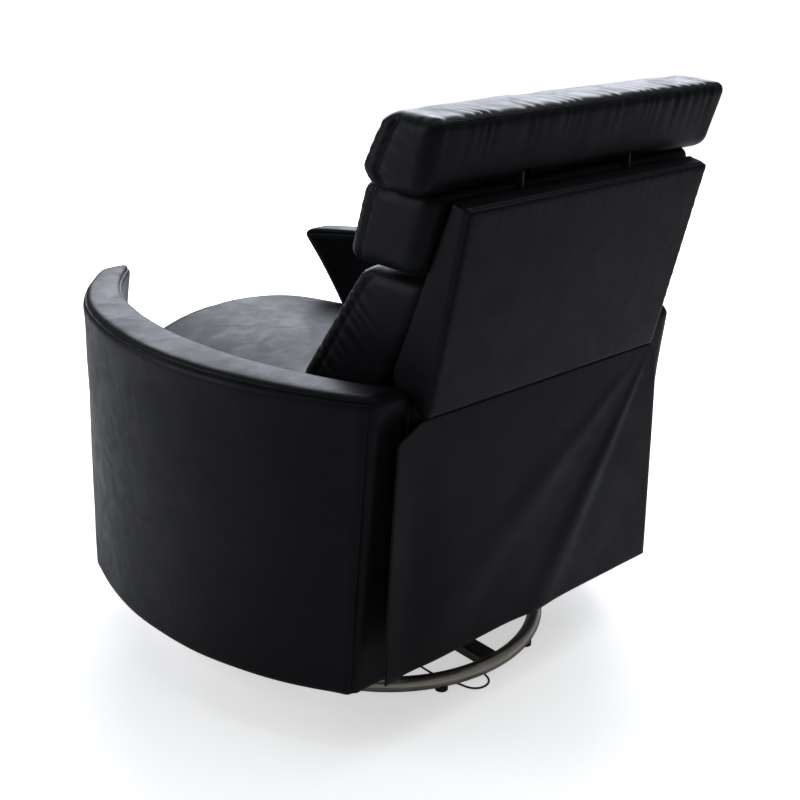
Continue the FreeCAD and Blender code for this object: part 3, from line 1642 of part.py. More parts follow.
def make_gland():
    """Tapered strain relief on the hub's barrel."""
    radius, length = read("gland_radius", "gland_length")
    start = read("hub_radius")
    way = FreeCAD.Vector(math.sqrt(0.5), math.sqrt(0.5), 0)
    spot = FreeCAD.Vector(0, read("swivel_y"), read("gland_height"))
    cone = Part.makeCone(radius, radius * 0.6, length + 4, spot + way * (start - 4), way)
    barrel = Part.makeCylinder(start, 60, FreeCAD.Vector(0, read("swivel_y"), 0))
    return made("Gland", cone.cut(barrel))


def make_plug(spot, way):
    """Round low-voltage connector on the end of the lead."""
    radius, length = read("plug_radius", "plug_length")
    taper = Part.makeCone(radius * 0.55, radius, length * 0.3, spot, way)
    shell = Part.makeCylinder(radius, length * 0.7, spot + way * (length * 0.3), way)
    tip = Part.makeCylinder(radius * 0.45, length * 0.3, spot + way * length, way)
    return made("Plug", taper.fuse([shell, tip]).removeSplitter())


lead_curves, lead_radii = rounded_route(lead_route())
print("smallest bends of the lead: %s" % ", ".join("%.0f" % radius for radius in sorted(lead_radii)[:6]))
coil_path, coil_end, coil_way = coil_curves()
print("least gap between the coil's turns: %.2f mm" % least_gap(coil_path, read("lead_diameter")))
keep("lead_gland", make_gland())
keep("power_lead", made("PowerLead", swept(lead_curves, "lead")))
keep("lead_coil", made("LeadCoil", swept(coil_path, "coil")))
keep("lead_plug", make_plug(coil_end, coil_way))

for piece in pieces.values():
    piece.recompute()
document.recompute()
os.makedirs("parts", exist_ok=True)
for node, piece in pieces.items():
    shape = piece.Shape
    if "Invalid" in piece.State or "Error" in piece.State or shape.isNull() or not shape.isValid():
        raise RuntimeError("%s is not sound: %s" % (node, piece.State))
    shape.exportStep("parts/%s.step" % node)
    box = shape.BoundBox
    print("%-18s %d solids, %6.1f..%6.1f %6.1f..%6.1f %6.1f..%6.1f" % (
        node, len(shape.Solids), box.XMin, box.XMax, box.YMin, box.YMax, box.ZMin, box.ZMax))
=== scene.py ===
"""A swivel recliner in black leather on a satin metal ring, dressed piece by piece."""

import math

import bpy
import numpy as np
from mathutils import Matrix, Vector, noise
from mathutils.bvhtree import BVHTree
from mathutils.kdtree import KDTree


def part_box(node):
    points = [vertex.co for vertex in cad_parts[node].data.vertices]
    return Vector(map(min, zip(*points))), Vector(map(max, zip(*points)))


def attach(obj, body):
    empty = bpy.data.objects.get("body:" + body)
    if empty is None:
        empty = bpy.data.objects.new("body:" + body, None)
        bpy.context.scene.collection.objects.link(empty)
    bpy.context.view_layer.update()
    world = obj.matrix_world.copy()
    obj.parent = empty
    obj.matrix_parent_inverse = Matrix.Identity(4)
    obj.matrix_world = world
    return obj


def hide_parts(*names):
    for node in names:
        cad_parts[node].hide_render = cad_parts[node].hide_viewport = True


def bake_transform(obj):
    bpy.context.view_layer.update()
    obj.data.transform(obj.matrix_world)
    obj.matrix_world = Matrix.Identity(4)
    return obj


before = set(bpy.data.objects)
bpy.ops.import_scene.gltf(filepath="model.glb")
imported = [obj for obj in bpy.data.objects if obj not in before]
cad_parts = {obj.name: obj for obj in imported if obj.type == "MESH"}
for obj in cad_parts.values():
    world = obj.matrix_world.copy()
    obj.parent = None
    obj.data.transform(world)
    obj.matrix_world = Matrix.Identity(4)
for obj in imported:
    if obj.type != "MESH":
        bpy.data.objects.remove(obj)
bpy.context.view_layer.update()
scene = bpy.context.scene
MM = 0.001

# Camera
# It stands behind the chair's left rear corner, a little above the headrest, and looks down at it.
LENS = 54.41
LOOK_DOWN, LOOK_ROUND = 21.373, 138.365
camera_data = bpy.data.cameras.new("camera")
camera_data.lens = LENS
camera = bpy.data.objects.new("camera", camera_data)
camera.location = (1.3888, 1.6541, 1.2790)
camera.rotation_euler = (math.radians(90 - LOOK_DOWN), 0, math.radians(LOOK_ROUND))
scene.collection.objects.link(camera)
scene.camera = camera


# Studio
# A pale floor that runs out of the picture, a dim room, and three cloth softboxes: one beside the
# chair's front, one beyond it that glances off the tops, and a weak one overhead.
def linear(code):
    """The linear colour of an sRGB hex value."""
    parts = [int(code[start:start + 2], 16) / 255 for start in (0, 2, 4)]
    return tuple(c / 12.92 if c <= 0.04045 else ((c + 0.055) / 1.055) ** 2.4 for c in parts) + (1.0,)


def add_node(owner, kind, settings=None, inputs=None):
    """Adds a shader node with its settings, and with values or links on its inputs."""
    tree = owner.node_tree
    node = tree.nodes.new("ShaderNode" + kind)
    for name, value in (settings or {}).items():
        setattr(node, name, value)
    for name, value in (inputs or {}).items():
        if isinstance(value, bpy.types.NodeSocket):
            tree.links.new(value, node.inputs[name])
        else:
            node.inputs[name].default_value = value
    return node


def mesh_piece(name, points, faces, material, smooth=True):
    """A mesh object in metres, in the chair's own frame."""
    mesh = bpy.data.meshes.new(name)
    mesh.from_pydata([tuple(point) for point in points], [], faces)
    mesh.polygons.foreach_set("use_smooth", [smooth] * len(mesh.polygons))
    mesh.materials.append(material)
    piece = bpy.data.objects.new(name, mesh)
    scene.collection.objects.link(piece)
    return piece


scene.view_settings.view_transform = "Standard"
room = bpy.data.worlds.new("room")
room.use_nodes = True
scene.world = room
background = room.node_tree.nodes["Background"]
background.inputs["Color"].default_value = linear("f8f9fa")
# The walls beyond the sweep are as white as it is to the camera, and dim for the rest.
straight = add_node(room, "LightPath").outputs["Is Camera Ray"]
ROOM_LEVEL, SEEN_LEVEL = 0.2, 1.1
level = add_node(room, "MapRange", None, {"Value": straight, "To Min": ROOM_LEVEL, "To Max": SEEN_LEVEL})
room.node_tree.links.new(level.outputs["Result"], background.inputs["Strength"])

floor_paint = bpy.data.materials.new("floor_paint")
floor_paint.use_nodes = True
matt = floor_paint.node_tree.nodes["Principled BSDF"]
matt.inputs["Roughness"].default_value = 0.9
matt.inputs["Specular IOR Level"].default_value = 0.1
matt.inputs["Base Color"].default_value = linear("f2f2f2")
rays = add_node(floor_paint, "LightPath")
clear = add_node(floor_paint, "Math", {"operation": "MAXIMUM"},
                 {0: rays.outputs["Is Camera Ray"], 1: rays.outputs["Is Transmission Ray"]})
# The paper sweep is lit up to white away from the chair, and keeps the chair's shadow close by.
ground = add_node(floor_paint, "TexCoord").outputs["Object"]
from_chair = add_node(floor_paint, "VectorMath", {"operation": "LENGTH"}, {0: ground}).outputs["Value"]
NEAR, FAR, NEAR_GLOW, FAR_GLOW = 0.6, 3.0, 0.55, 0.92
glow = add_node(floor_paint, "MapRange", {"interpolation_type": "SMOOTHSTEP"},
                {"Value": from_chair, "From Min": NEAR, "From Max": FAR,
                 "To Min": NEAR_GLOW, "To Max": FAR_GLOW})
own_glow = add_node(floor_paint, "Math", {"operation": "MULTIPLY"},
                    {0: clear.outputs[0], 1: glow.outputs["Result"]})
matt.inputs["Emission Color"].default_value = (1, 1, 1, 1)
floor_paint.node_tree.links.new(own_glow.outputs[0], matt.inputs["Emission Strength"])
FLOOR_REACH, FLOOR_DROP = 40, 0.0002
floor_corners = [(x * FLOOR_REACH, y * FLOOR_REACH, -FLOOR_DROP)
                 for x, y in ((-1, -1), (1, -1), (1, 1), (-1, 1))]
floor = mesh_piece("studio_floor", floor_corners, [(0, 1, 2, 3)], floor_paint)


def softbox(name, place, aim, width, height, watts, colour):
    """A rectangular lamp, aimed at a place, that the camera doesn't see."""
    lamp = bpy.data.lights.new(name, "AREA")
    lamp.shape = "RECTANGLE"
    lamp.size = width
    lamp.size_y = height
    lamp.energy = watts
    lamp.color = linear(colour)[:3]
    holder = bpy.data.objects.new(name, lamp)
    holder.location = place
    holder.rotation_euler = (Vector(aim) - Vector(place)).to_track_quat("-Z", "Y").to_euler()
    holder.visible_camera = False
    scene.collection.objects.link(holder)


softbox("front_softbox", (3.2, -2.4, 2.0), (0, 0, 0.5), 2.2, 2.6, 62, "f8faff")
softbox("far_softbox", (-2.9, -3.2, 2.5), (0, 0, 0.6), 4.5, 2.2, 240, "eef3ff")
softbox("overhead_softbox", (-0.6, 0.6, 3.4), (0, 0, 0.5), 2.6, 2.6, 55, "f8faff")


# Power lead
# A thin round low-voltage lead in soft black PVC. It leaves a strain relief on the hub, loops out
# under the ring, and what isn't needed lies coiled under the chair, ending in a round plug.
def new_finish(name, **values):
    """A material and its Principled shader, with the given socket values."""
    material = bpy.data.materials.new(name)
    material.use_nodes = True
    shader = material.node_tree.nodes["Principled BSDF"]
    for socket, value in values.items():
        shader.inputs[socket.replace("_", " ")].default_value = value
    return material, shader


def surface_noise(material, size, detail=3.0):
    """Noise over the piece's own place, in patches of about the given size in metres."""
    place = add_node(material, "TexCoord").outputs["Object"]
    return add_node(material, "TexNoise", None, {"Vector": place, "Scale": 1 / size, "Detail": detail})


def vary(material, shader, socket, pattern, low, high):
    """Lets a pattern move a shader's number between two values."""
    spread = add_node(material, "MapRange", None,
                      {"Value": pattern, "From Min": 0.3, "From Max": 0.7, "To Min": low, "To Max": high})
    material.node_tree.links.new(spread.outputs["Result"], shader.inputs[socket])


def tint(material, shader, pattern, first, second):
    """Lets a pattern move a shader's colour between two sRGB colours."""
    mixed = add_node(material, "Mix", {"data_type": "RGBA"},
                     {0: pattern, 6: linear(first), 7: linear(second)})
    material.node_tree.links.new(mixed.outputs[2], shader.inputs["Base Color"])


def raise_bumps(material, shader, pattern, height, under=None, strength=1.0):
    """Bumps of the given height in metres, over those of another bump node."""
    inputs = {"Height": pattern, "Distance": height, "Strength": strength}
    if under is not None:
        inputs["Normal"] = under.outputs["Normal"]
    bumps = add_node(material, "Bump", None, inputs)
    material.node_tree.links.new(bumps.outputs["Normal"], shader.inputs["Normal"])
    return bumps


# Soft PVC, extruded: dull black with a faint smear of dust along its length.
lead_pvc, lead_shader = new_finish("soft_pvc", IOR=1.53, Roughness=0.5)
dust = surface_noise(lead_pvc, 0.012).outputs["Fac"]
tint(lead_pvc, lead_shader, dust, "161617", "232325")
vary(lead_pvc, lead_shader, "Roughness", dust, 0.42, 0.6)

LEAD_DIAMETER = 4 * MM
SWIVEL = Vector((0, 62, 0))
LEAD_LIFT = 2.3
lead_points = [
    (35.355, 35.355, 15.7), (46.355, 46.355, 15.7), (58, 60, 9.5), (68, 76, 2.2), (77, 99, 0), (85, 136, 0),
    (93, 182, 0), (93, 226, 0), (85, 259, 0), (78, 281, 0), (74, 300, 0), (62, 313, 0), (45, 316, 0),
    (30, 309, 0), (23, 294, 0), (20, 276, 0), (9, 249, 0), (-13, 213, 0), (-44, 176, 0), (-78, 135, 0),
    (-110, 85, 0), (-134, 30, 0), (-151, -27, 0), (-159, -84, 0),
]
route = [Vector(point) + SWIVEL + Vector((0, 0, LEAD_LIFT)) for point in lead_points]

COIL_HALF_TURNS = 8
COIL_PITCH = 4.6
COIL_OUTER_RADIUS = 30.05
POINTS_PER_HALF_TURN = 6
# A curve with 12 points a turn runs inside them by this share of their radius.
POINT_REACH = 1 / (0.75 + 0.25 * math.cos(math.pi / POINTS_PER_HALF_TURN))
radii = [COIL_OUTER_RADIUS - COIL_PITCH / 2 * number for number in range(COIL_HALF_TURNS)]
radii = radii + [radii[-1] - COIL_PITCH / 2] + radii[::-1]
way = (route[-1] - route[-2]).normalized()
here = route[-1] + way * 4
for number, radius in enumerate(radii):
    left = Vector((-way.y, way.x, 0))
    centre = here + left * radius
    climb = COIL_PITCH if number == COIL_HALF_TURNS else 0
    for step in range(POINTS_PER_HALF_TURN):
        share = (step + 0.5) / POINTS_PER_HALF_TURN
        turn = math.pi * share
        out = way * math.sin(turn) - left * math.cos(turn)
        route.append(centre + out * radius * POINT_REACH + Vector((0, 0, climb * share)))
    here = centre + left * radius + Vector((0, 0, climb))
    way = -way
PLUG_STRAIGHT = 26
route += [here + way * PLUG_STRAIGHT / 2, here + way * PLUG_STRAIGHT]

lead_curve = bpy.data.curves.new("power_cord", "CURVE")
lead_curve.dimensions = "3D"
lead_curve.bevel_depth = LEAD_DIAMETER / 2
lead_curve.bevel_resolution = 4
lead_curve.resolution_u = 6
lead_line = lead_curve.splines.new("NURBS")
lead_line.points.add(len(route) - 1)
for point, spot in zip(lead_line.points, route):
    point.co = (*(spot * MM), 1)
lead_line.order_u = 3
lead_line.use_endpoint_u = True
lead_curve.materials.append(lead_pvc)
power_cord = bpy.data.objects.new("power_cord", lead_curve)
scene.collection.objects.link(power_cord)
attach(power_cord, "base")
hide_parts("power_lead", "lead_coil")


def dress(material, *nodes):
    """Gives CAD nodes a material in their own slots."""
    for node in nodes:
        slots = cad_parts[node].material_slots
        for place in slots:
            place.material = material
        if not slots:
            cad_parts[node].data.materials.append(material)


dress(lead_pvc, "lead_plug")

# Ring base
# A ring of round steel tube with a four-armed star and a turned hub inside it, in satin nickel
# over a brushed surface: a soft warm grey that is bright where it faces up.
nickel, nickel_shader = new_finish("satin_nickel", Metallic=1.0, Roughness=0.34)
wear = surface_noise(nickel, 0.05).outputs["Fac"]
tint(nickel, nickel_shader, wear, "b5aea4", "c6c0b6")
place = add_node(nickel, "TexCoord").outputs["Object"]
# The brush marks of 0.3 mm are drawn 1 mm wide so that they show.
stretched = add_node(nickel, "Mapping", None, {"Vector": place, "Scale": (1.0, 1.0, 12.0)})
brushed = add_node(nickel, "TexNoise", None, {"Vector": stretched.outputs[0], "Scale": 80.0, "Detail": 4.0})
vary(nickel, nickel_shader, "Roughness", brushed.outputs["Fac"], 0.28, 0.42)
raise_bumps(nickel, nickel_shader, brushed.outputs["Fac"], 0.04 * MM)
dress(nickel, "base_ring", "base_spokes", "base_hub")

# Glides and gland
# Moulded black polypropylene feet under the ring, and the lead's tapered strain relief.
moulded, moulded_shader = new_finish("moulded_polypropylene", IOR=1.49, Roughness=0.5)
spark = surface_noise(moulded, 0.0012, 2.0).outputs["Fac"]
tint(moulded, moulded_shader, spark, "1d1d1f", "262628")
vary(moulded, moulded_shader, "Roughness", spark, 0.45, 0.6)
raise_bumps(moulded, moulded_shader, spark, 0.05 * MM)
dress(moulded, "base_glides", "lead_gland")

# Bearing, king pin and pivots
# Turned steel with bright zinc plating: faintly blue, and cloudy where it was handled.
zinc, zinc_shader = new_finish("bright_zinc", Metallic=1.0, Roughness=0.32)
cloud = surface_noise(zinc, 0.02).outputs["Fac"]
tint(zinc, zinc_shader, cloud, "9a9da3", "b4b6ba")
vary(zinc, zinc_shader, "Roughness", cloud, 0.25, 0.42)
dress(zinc, "bearing_ring", "king_pin", "swivel_nut", "chair_pivot_pins", "rear_link_pins", "long_link_pins",
      "front_link_pins", "short_link_studs", "headrest_pins")

# Under frame, link arms and brackets
# Pressed and welded mild steel in satin black powder coat: a fine orange peel, rubbed lighter in patches.
coat, coat_shader = new_finish("powder_coat", IOR=1.5, Roughness=0.42)
peel = surface_noise(coat, 0.0016, 2.0).outputs["Fac"]
scuff = surface_noise(coat, 0.06, 6.0).outputs["Fac"]
tint(coat, coat_shader, scuff, "202124", "303236")
vary(coat, coat_shader, "Roughness", scuff, 0.36, 0.52)
raise_bumps(coat, coat_shader, peel, 0.05 * MM)
dress(coat, "swivel_plate", "mount_channels", "cross_tube_front", "cross_tube_rear", "mechanism_plates",
      "rear_links", "torque_tube", "drive_levers", "drive_lever_bar", "long_links", "front_links",
      "short_links", "foot_brackets", "back_brackets", "back_lever_bar", "headrest_arms", "drive_supports")

# Wooden frame
# Birch plywood rail and board, sawn and sanded: pale, with long grain and darker streaks.
def plywood(name, dark, light, roughness, smoothest, roughest):
    """A veneer with long grain. Returns the material, its shader and the grain's pattern."""
    material, shader = new_finish(name, IOR=1.5, Roughness=roughness)
    place = add_node(material, "TexCoord").outputs["Object"]
    grain_place = add_node(material, "Mapping", None, {"Vector": place, "Scale": (14.0, 2.0, 40.0)})
    grain = add_node(material, "TexNoise", None,
                     {"Vector": grain_place.outputs[0], "Scale": 6.0, "Detail": 6.0, "Distortion": 0.6})
    tint(material, shader, grain.outputs["Fac"], dark, light)
    vary(material, shader, "Roughness", grain.outputs["Fac"], smoothest, roughest)
    return material, shader, grain.outputs["Fac"]


birch, birch_shader, birch_grain = plywood("birch_plywood", "b08a5c", "dcc198", 0.62, 0.55, 0.72)
raise_bumps(birch, birch_shader, birch_grain, 0.15 * MM)
dress(birch, "front_rail", "foot_board")

# Side panels, stays and back frame
# The same plywood with a black water stain, where it could be seen through the gaps of the cover.
stained, _, _ = plywood("black_stained_plywood", "0d0d0d", "1c1a18", 0.7, 0.62, 0.8)
dress(stained, "side_panel_left", "side_panel_right", "rear_rail", "arm_stays", "back_frame")

# Seat webbing
# Woven elastic straps stapled over the rails: a ribbed black weave with a pitch of about 3 mm.
elastic, elastic_shader = new_finish("woven_elastic", IOR=1.5, Roughness=0.85)
place = add_node(elastic, "TexCoord").outputs["Object"]
# The weave is drawn 6 mm wide so that it shows. A wave texture of scale 1 repeats every pi / 10.
WEAVE_PITCH = 6 * MM
ribs, warp = [add_node(elastic, "TexWave", {"bands_direction": direction},
                       {"Vector": place, "Scale": math.pi / 10 / WEAVE_PITCH, "Distortion": 0.4})
              for direction in ("Y", "X")]
weave = add_node(elastic, "Math", {"operation": "MULTIPLY"},
                 {0: ribs.outputs["Fac"], 1: warp.outputs["Fac"]})
tint(elastic, elastic_shader, weave.outputs[0], "131315", "3a3a3e")
raise_bumps(elastic, elastic_shader, weave.outputs[0], 0.5 * MM)
dress(elastic, "seat_webbing")

# Drive rails
# Extruded aluminium, clear anodised: pale satin grey with fine die lines along it.
anodised, anodised_shader = new_finish("anodised_aluminium", Metallic=1.0, Roughness=0.36)
place = add_node(anodised, "TexCoord").outputs["Object"]
die = add_node(anodised, "Mapping", None, {"Vector": place, "Scale": (900.0, 8.0, 900.0)})
die_lines = add_node(anodised, "TexNoise", None, {"Vector": die.outputs[0], "Scale": 1.0, "Detail": 2.0})
tint(anodised, anodised_shader, die_lines.outputs["Fac"], "a9abae", "c4c6c9")
vary(anodised, anodised_shader, "Roughness", die_lines.outputs["Fac"], 0.3, 0.44)
dress(anodised, "leg_drive_rail", "back_drive_rail")

# Drive motors and blocks
# Housings and sliding blocks moulded in glass-filled nylon: dark grey with a spark-eroded texture.
nylon, nylon_shader = new_finish("glass_filled_nylon", IOR=1.53, Roughness=0.5)
fibre = surface_noise(nylon, 0.001, 2.0).outputs["Fac"]
tint(nylon, nylon_shader, fibre, "232427", "303236")
vary(nylon, nylon_shader, "Roughness", fibre, 0.42, 0.58)
raise_bumps(nylon, nylon_shader, fibre, 0.06 * MM)
dress(nylon, "leg_motor", "back_motor", "leg_drive_block", "back_drive_block")

# Control panel and its two buttons
# An ABS bezel let into the inner side of the left arm, with two round push buttons in satin ABS.
bezel, bezel_shader = new_finish("satin_abs", IOR=1.54, Roughness=0.3)
haze = surface_noise(bezel, 0.004, 2.0).outputs["Fac"]
tint(bezel, bezel_shader, haze, "17181a", "1e1f22")
vary(bezel, bezel_shader, "Roughness", haze, 0.24, 0.36)
dress(bezel, "control_panel")
keycap, keycap_shader = new_finish("button_abs", IOR=1.54, Roughness=0.26)
rub = surface_noise(keycap, 0.003, 2.0).outputs["Fac"]
tint(keycap, keycap_shader, rub, "3b3d41", "484a4f")
vary(keycap, keycap_shader, "Roughness", rub, 0.2, 0.34)
dress(keycap, "button_recline", "button_return")

# Barrel arms
# A curved wooden wall padded with foam and covered in leather: an outer panel, an inner panel and
# a boxing strip between them that runs up the front end, over the top and down the rear end.
# Semi-aniline leather, drum-dyed black with a light finish: soft sheen, fine pebble, lazy creases.
leather, leather_shader = new_finish("semi_aniline_leather", IOR=1.45, Roughness=0.42, Specular_IOR_Level=0.1)
place = add_node(leather, "TexCoord").outputs["Object"]
# The pebbles of about 1 mm are drawn 2.6 mm wide so that they show.
PEBBLE_SIZE, CREASE_SIZE = 2.6 * MM, 45 * MM
pebble = add_node(leather, "TexVoronoi", {"feature": "SMOOTH_F1"},
                  {"Vector": place, "Scale": 1 / PEBBLE_SIZE, "Smoothness": 0.7})
crease = add_node(leather, "TexNoise", None,
                  {"Vector": place, "Scale": 1 / CREASE_SIZE, "Detail": 5.0, "Roughness": 0.55,
                   "Distortion": 0.9})
shade = surface_noise(leather, 0.15, 4.0).outputs["Fac"]
tint(leather, leather_shader, shade, "0b0c0e", "121316")
vary(leather, leather_shader, "Roughness", crease.outputs["Fac"], 0.38, 0.5)
soft_bumps = raise_bumps(leather, leather_shader, crease.outputs["Fac"], 1.6 * MM, strength=0.3)
raise_bumps(leather, leather_shader, pebble.outputs["Distance"], 0.12 * MM, soft_bumps, 0.6)

ARM_HEM_LEVEL, ARM_LOW, ARM_HIGH, ARM_TOP = 110, 118, 633, 646
ARM_ROUNDING = 17
ARM_DEPTH = 900
ARM_WIDTH = 80
# Centre x, centre y and radius of the arm's faces in plan, at its low and high levels.
OUTER_LOW, INNER_LOW = (-245, -58, 730), (-245, -58, 644)
OUTER_HIGH, INNER_HIGH = (-342, -7, 816), (-518, -16, 899)
# The y of the arm's front and rear ends at those levels.
LOW_ENDS, HIGH_ENDS = (-307, 366), (-482, 424)
TIP_CURL, CURL_START, CURL_REACH, CURL_LOW = 38, -270, 226, 330


def on_arc(circle, y):
    """The x of a circle in plan at a y."""
    return circle[0] + np.sqrt(circle[2] ** 2 - (y - circle[1]) ** 2)


def tip_curl(y, z):
    """How far the arms' front ends bend inwards, more with the height."""
    forward = np.clip((CURL_START - y) / CURL_REACH, 0, 1.1)
    height = np.clip((z - CURL_LOW) / (ARM_HIGH - CURL_LOW), 0, 1.05)
    return TIP_CURL * forward ** 2 * height ** 1.3


def arm_point(along, across, up):
    """Maps the arm's unrolled box to the real leaning, curved wall, all in millimetres."""
    share = along / ARM_DEPTH
    inward = across / ARM_WIDTH
    rise = np.clip((up - ARM_LOW) / (ARM_HIGH - ARM_LOW), -0.02, 1.03)
    low_y = LOW_ENDS[0] + (LOW_ENDS[1] - LOW_ENDS[0]) * share
    high_y = HIGH_ENDS[0] + (HIGH_ENDS[1] - HIGH_ENDS[0]) * share
    low_x = on_arc(OUTER_LOW, low_y) * (1 - inward) + on_arc(INNER_LOW, low_y) * inward
    high_x = on_arc(OUTER_HIGH, high_y) * (1 - inward) + on_arc(INNER_HIGH, high_y) * inward
    x, y = low_x + (high_x - low_x) * rise, low_y + (high_y - low_y) * rise
    return np.stack([x - tip_curl(y, up), y, up], axis=-1)


def spaced(length, rounding, step):
    """Rows along one side of a box: close together by the seams at its ends, even between."""
    close = np.array([0, 0.9, 1.9, 3.2, 5, 7.5, 10.5, 14]) * rounding / 17
    middle = np.linspace(rounding * 1.1, length - rounding * 1.1, max(2, round(length / step)))
    return np.concatenate([close, middle, length - close[::-1]])


def from_seam(reach, rounding):
    """Distance over the rounded edge from the seam at its middle."""
    bend = rounding * (math.pi / 4 - np.arctan(np.maximum(rounding - reach, 0) / rounding))
    return bend + np.maximum(reach - rounding, 0)


def upholstered_slab(rows, rounding):
    """A rounded box of leather, sewn where its two big faces meet the strip round its edge.

    Returns its points, its faces and each point's distance from the seam, all in millimetres.
    """
    size = [row[-1] for row in rows]
    points, faces, reaches = [], [], []
    for axis in range(3):
        first, second = [other for other in range(3) if other != axis]
        for end in (0, size[axis]):
            u, v = np.meshgrid(rows[first], rows[second], indexing="ij")
            spot = np.zeros(u.shape + (3,))
            spot[..., first], spot[..., second], spot[..., axis] = u, v, end
            core = np.clip(spot, rounding, np.array(size) - rounding)
            away = spot - core
            away /= np.linalg.norm(away, axis=-1, keepdims=True)
            ends = [np.minimum(spot[..., k], size[k] - spot[..., k]) for k in range(3)]
            if axis == 1:
                reach = np.minimum(ends[0], size[2] - spot[..., 2])
            elif axis == 2 and end == 0:
                reach = np.full(u.shape, 99.0)
            else:
                reach = ends[1]
            start = len(points)
            points.extend((core + away * rounding).reshape(-1, 3))
            reaches.extend(from_seam(reach, rounding).reshape(-1))
            count_u, count_v = u.shape
            flip = (axis != 1) == (end == 0)
            for i in range(count_u - 1):
                for j in range(count_v - 1):
                    a = start + i * count_v + j
                    face = (a, a + count_v, a + count_v + 1, a + 1)
                    faces.append(face[::-1] if flip else face)
    points, reaches = np.array(points), np.array(reaches)
    keys = np.round(points * 200).astype(np.int64)
    _, firsts, where = np.unique(keys, axis=0, return_index=True, return_inverse=True)
    where = where.reshape(-1)
    nearest = np.full(len(firsts), 1e9)
    np.minimum.at(nearest, where, reaches)
    corners = [tuple(dict.fromkeys(where[list(face)].tolist())) for face in faces]
    corners = [face for face in corners if len(face) > 2]
    return points[firsts], corners, nearest


def point_normals(points, faces):
    """Unit normals at the points of a mesh given as arrays."""
    mesh = bpy.data.meshes.new("normals")
    mesh.from_pydata([tuple(point) for point in points], [], faces)
    found = np.zeros(len(points) * 3)
    mesh.vertex_normals.foreach_get("vector", found)
    bpy.data.meshes.remove(mesh)
    return found.reshape(-1, 3)


def waves(points, size, seed):
    """Smooth noise from -1 to 1 at points in metres, in waves of the given size."""
    shift = Vector((seed * 7.3, seed * 3.1, seed * 5.7))
    return np.array([noise.noise(Vector(point) / size + shift) for point in points]) * 2


ARM_SEAM_DEPTH, ARM_SEAM_WIDTH, ARM_CROWN, ARM_SINK = 1.9, 1.5, 3.5, 1.5
# The roll beside a seam, the slack of the leather and the pulls at its seams: height and reach in
# millimetres, and the size of their waves in metres.
ROLL_HEIGHT, ROLL_REACH = 1.5, 9
SLACK_HEIGHT, SLACK_REACH, SLACK_SIZE = 0.9, 20, 0.13
PULL_HEIGHT, PULL_REACH, PULL_SIZE = 0.7, 16, 0.035
arm_box = (ARM_DEPTH, ARM_WIDTH, ARM_TOP - ARM_HEM_LEVEL)
arm_rows = [spaced(length, ARM_ROUNDING, step) for length, step in zip(arm_box, (13, 11, 15))]
flat_points, arm_faces, seam_reach = upholstered_slab(arm_rows, ARM_ROUNDING)
along, across, up = flat_points.T
crown = ARM_CROWN * np.sin(np.clip(across / ARM_WIDTH, 0, 1) * math.pi) * (up > arm_box[2] * 0.95)
arm_points = arm_point(along, across, up + ARM_HEM_LEVEL - ARM_SINK + crown) * MM


def upholster(piece, node, body):
    """Hangs a finished cover on its body and hides the solid it stands for."""
    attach(piece, body)
    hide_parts(node)


for side, node in ((1, "arm_left"), (-1, "arm_right")):
    normals = point_normals(arm_points, arm_faces)
    groove = -ARM_SEAM_DEPTH * np.exp(-(seam_reach / ARM_SEAM_WIDTH) ** 2)
    roll = ROLL_HEIGHT * (seam_reach / ROLL_REACH) * np.exp(1 - seam_reach / ROLL_REACH)
    slack = SLACK_HEIGHT * waves(arm_points, SLACK_SIZE, 1 + side) * np.clip(seam_reach / SLACK_REACH, 0, 1)
    upright = waves(arm_points * np.array([1, 1, 0.4]), PULL_SIZE, 4 + side)
    pulls = PULL_HEIGHT * upright * np.exp(-seam_reach / PULL_REACH)
    shaped = arm_points + normals * ((groove + roll + slack + pulls) * MM)[:, None]
    shaped = shaped * np.array([side, 1, 1])
    panels = arm_faces if side > 0 else [face[::-1] for face in arm_faces]
    upholster(mesh_piece(node + "_cover", shaped, panels, leather), node, "chair")


# Cushions
# Each is a sewn leather cover blown up by its foam and fibre filling: crowned in the middle, drawn
# in at its corners and along its seams, with short pleats beside them.
def settled(piece):
    """Turns a piece's modifiers into its own mesh."""
    view = bpy.context.evaluated_depsgraph_get()
    made = bpy.data.meshes.new_from_object(piece.evaluated_get(view))
    piece.modifiers.clear()
    old = piece.data
    piece.data = made
    bpy.data.meshes.remove(old)


def refined(piece):
    """Splits each face of a piece in four and shades it smooth."""
    finer = piece.modifiers.new("finer", "SUBSURF")
    finer.levels = 1
    settled(piece)
    piece.data.polygons.foreach_set("use_smooth", [True] * len(piece.data.polygons))


def spots_of(piece):
    """The places of a piece's vertices."""
    spots = np.zeros(len(piece.data.vertices) * 3)
    piece.data.vertices.foreach_get("co", spots)
    return spots.reshape(-1, 3)


def normals_of(piece):
    """The unit normals at a piece's vertices."""
    found = np.zeros(len(piece.data.vertices) * 3)
    piece.data.vertex_normals.foreach_get("vector", found)
    return found.reshape(-1, 3)


def move_to(piece, spots):
    """Puts a piece's vertices at new places."""
    piece.data.vertices.foreach_set("co", spots.reshape(-1))
    piece.data.update()


def tree_of(piece):
    """A search tree over a piece's faces."""
    mesh = piece.data
    return BVHTree.FromPolygons([v.co for v in mesh.vertices], [tuple(p.vertices) for p in mesh.polygons])


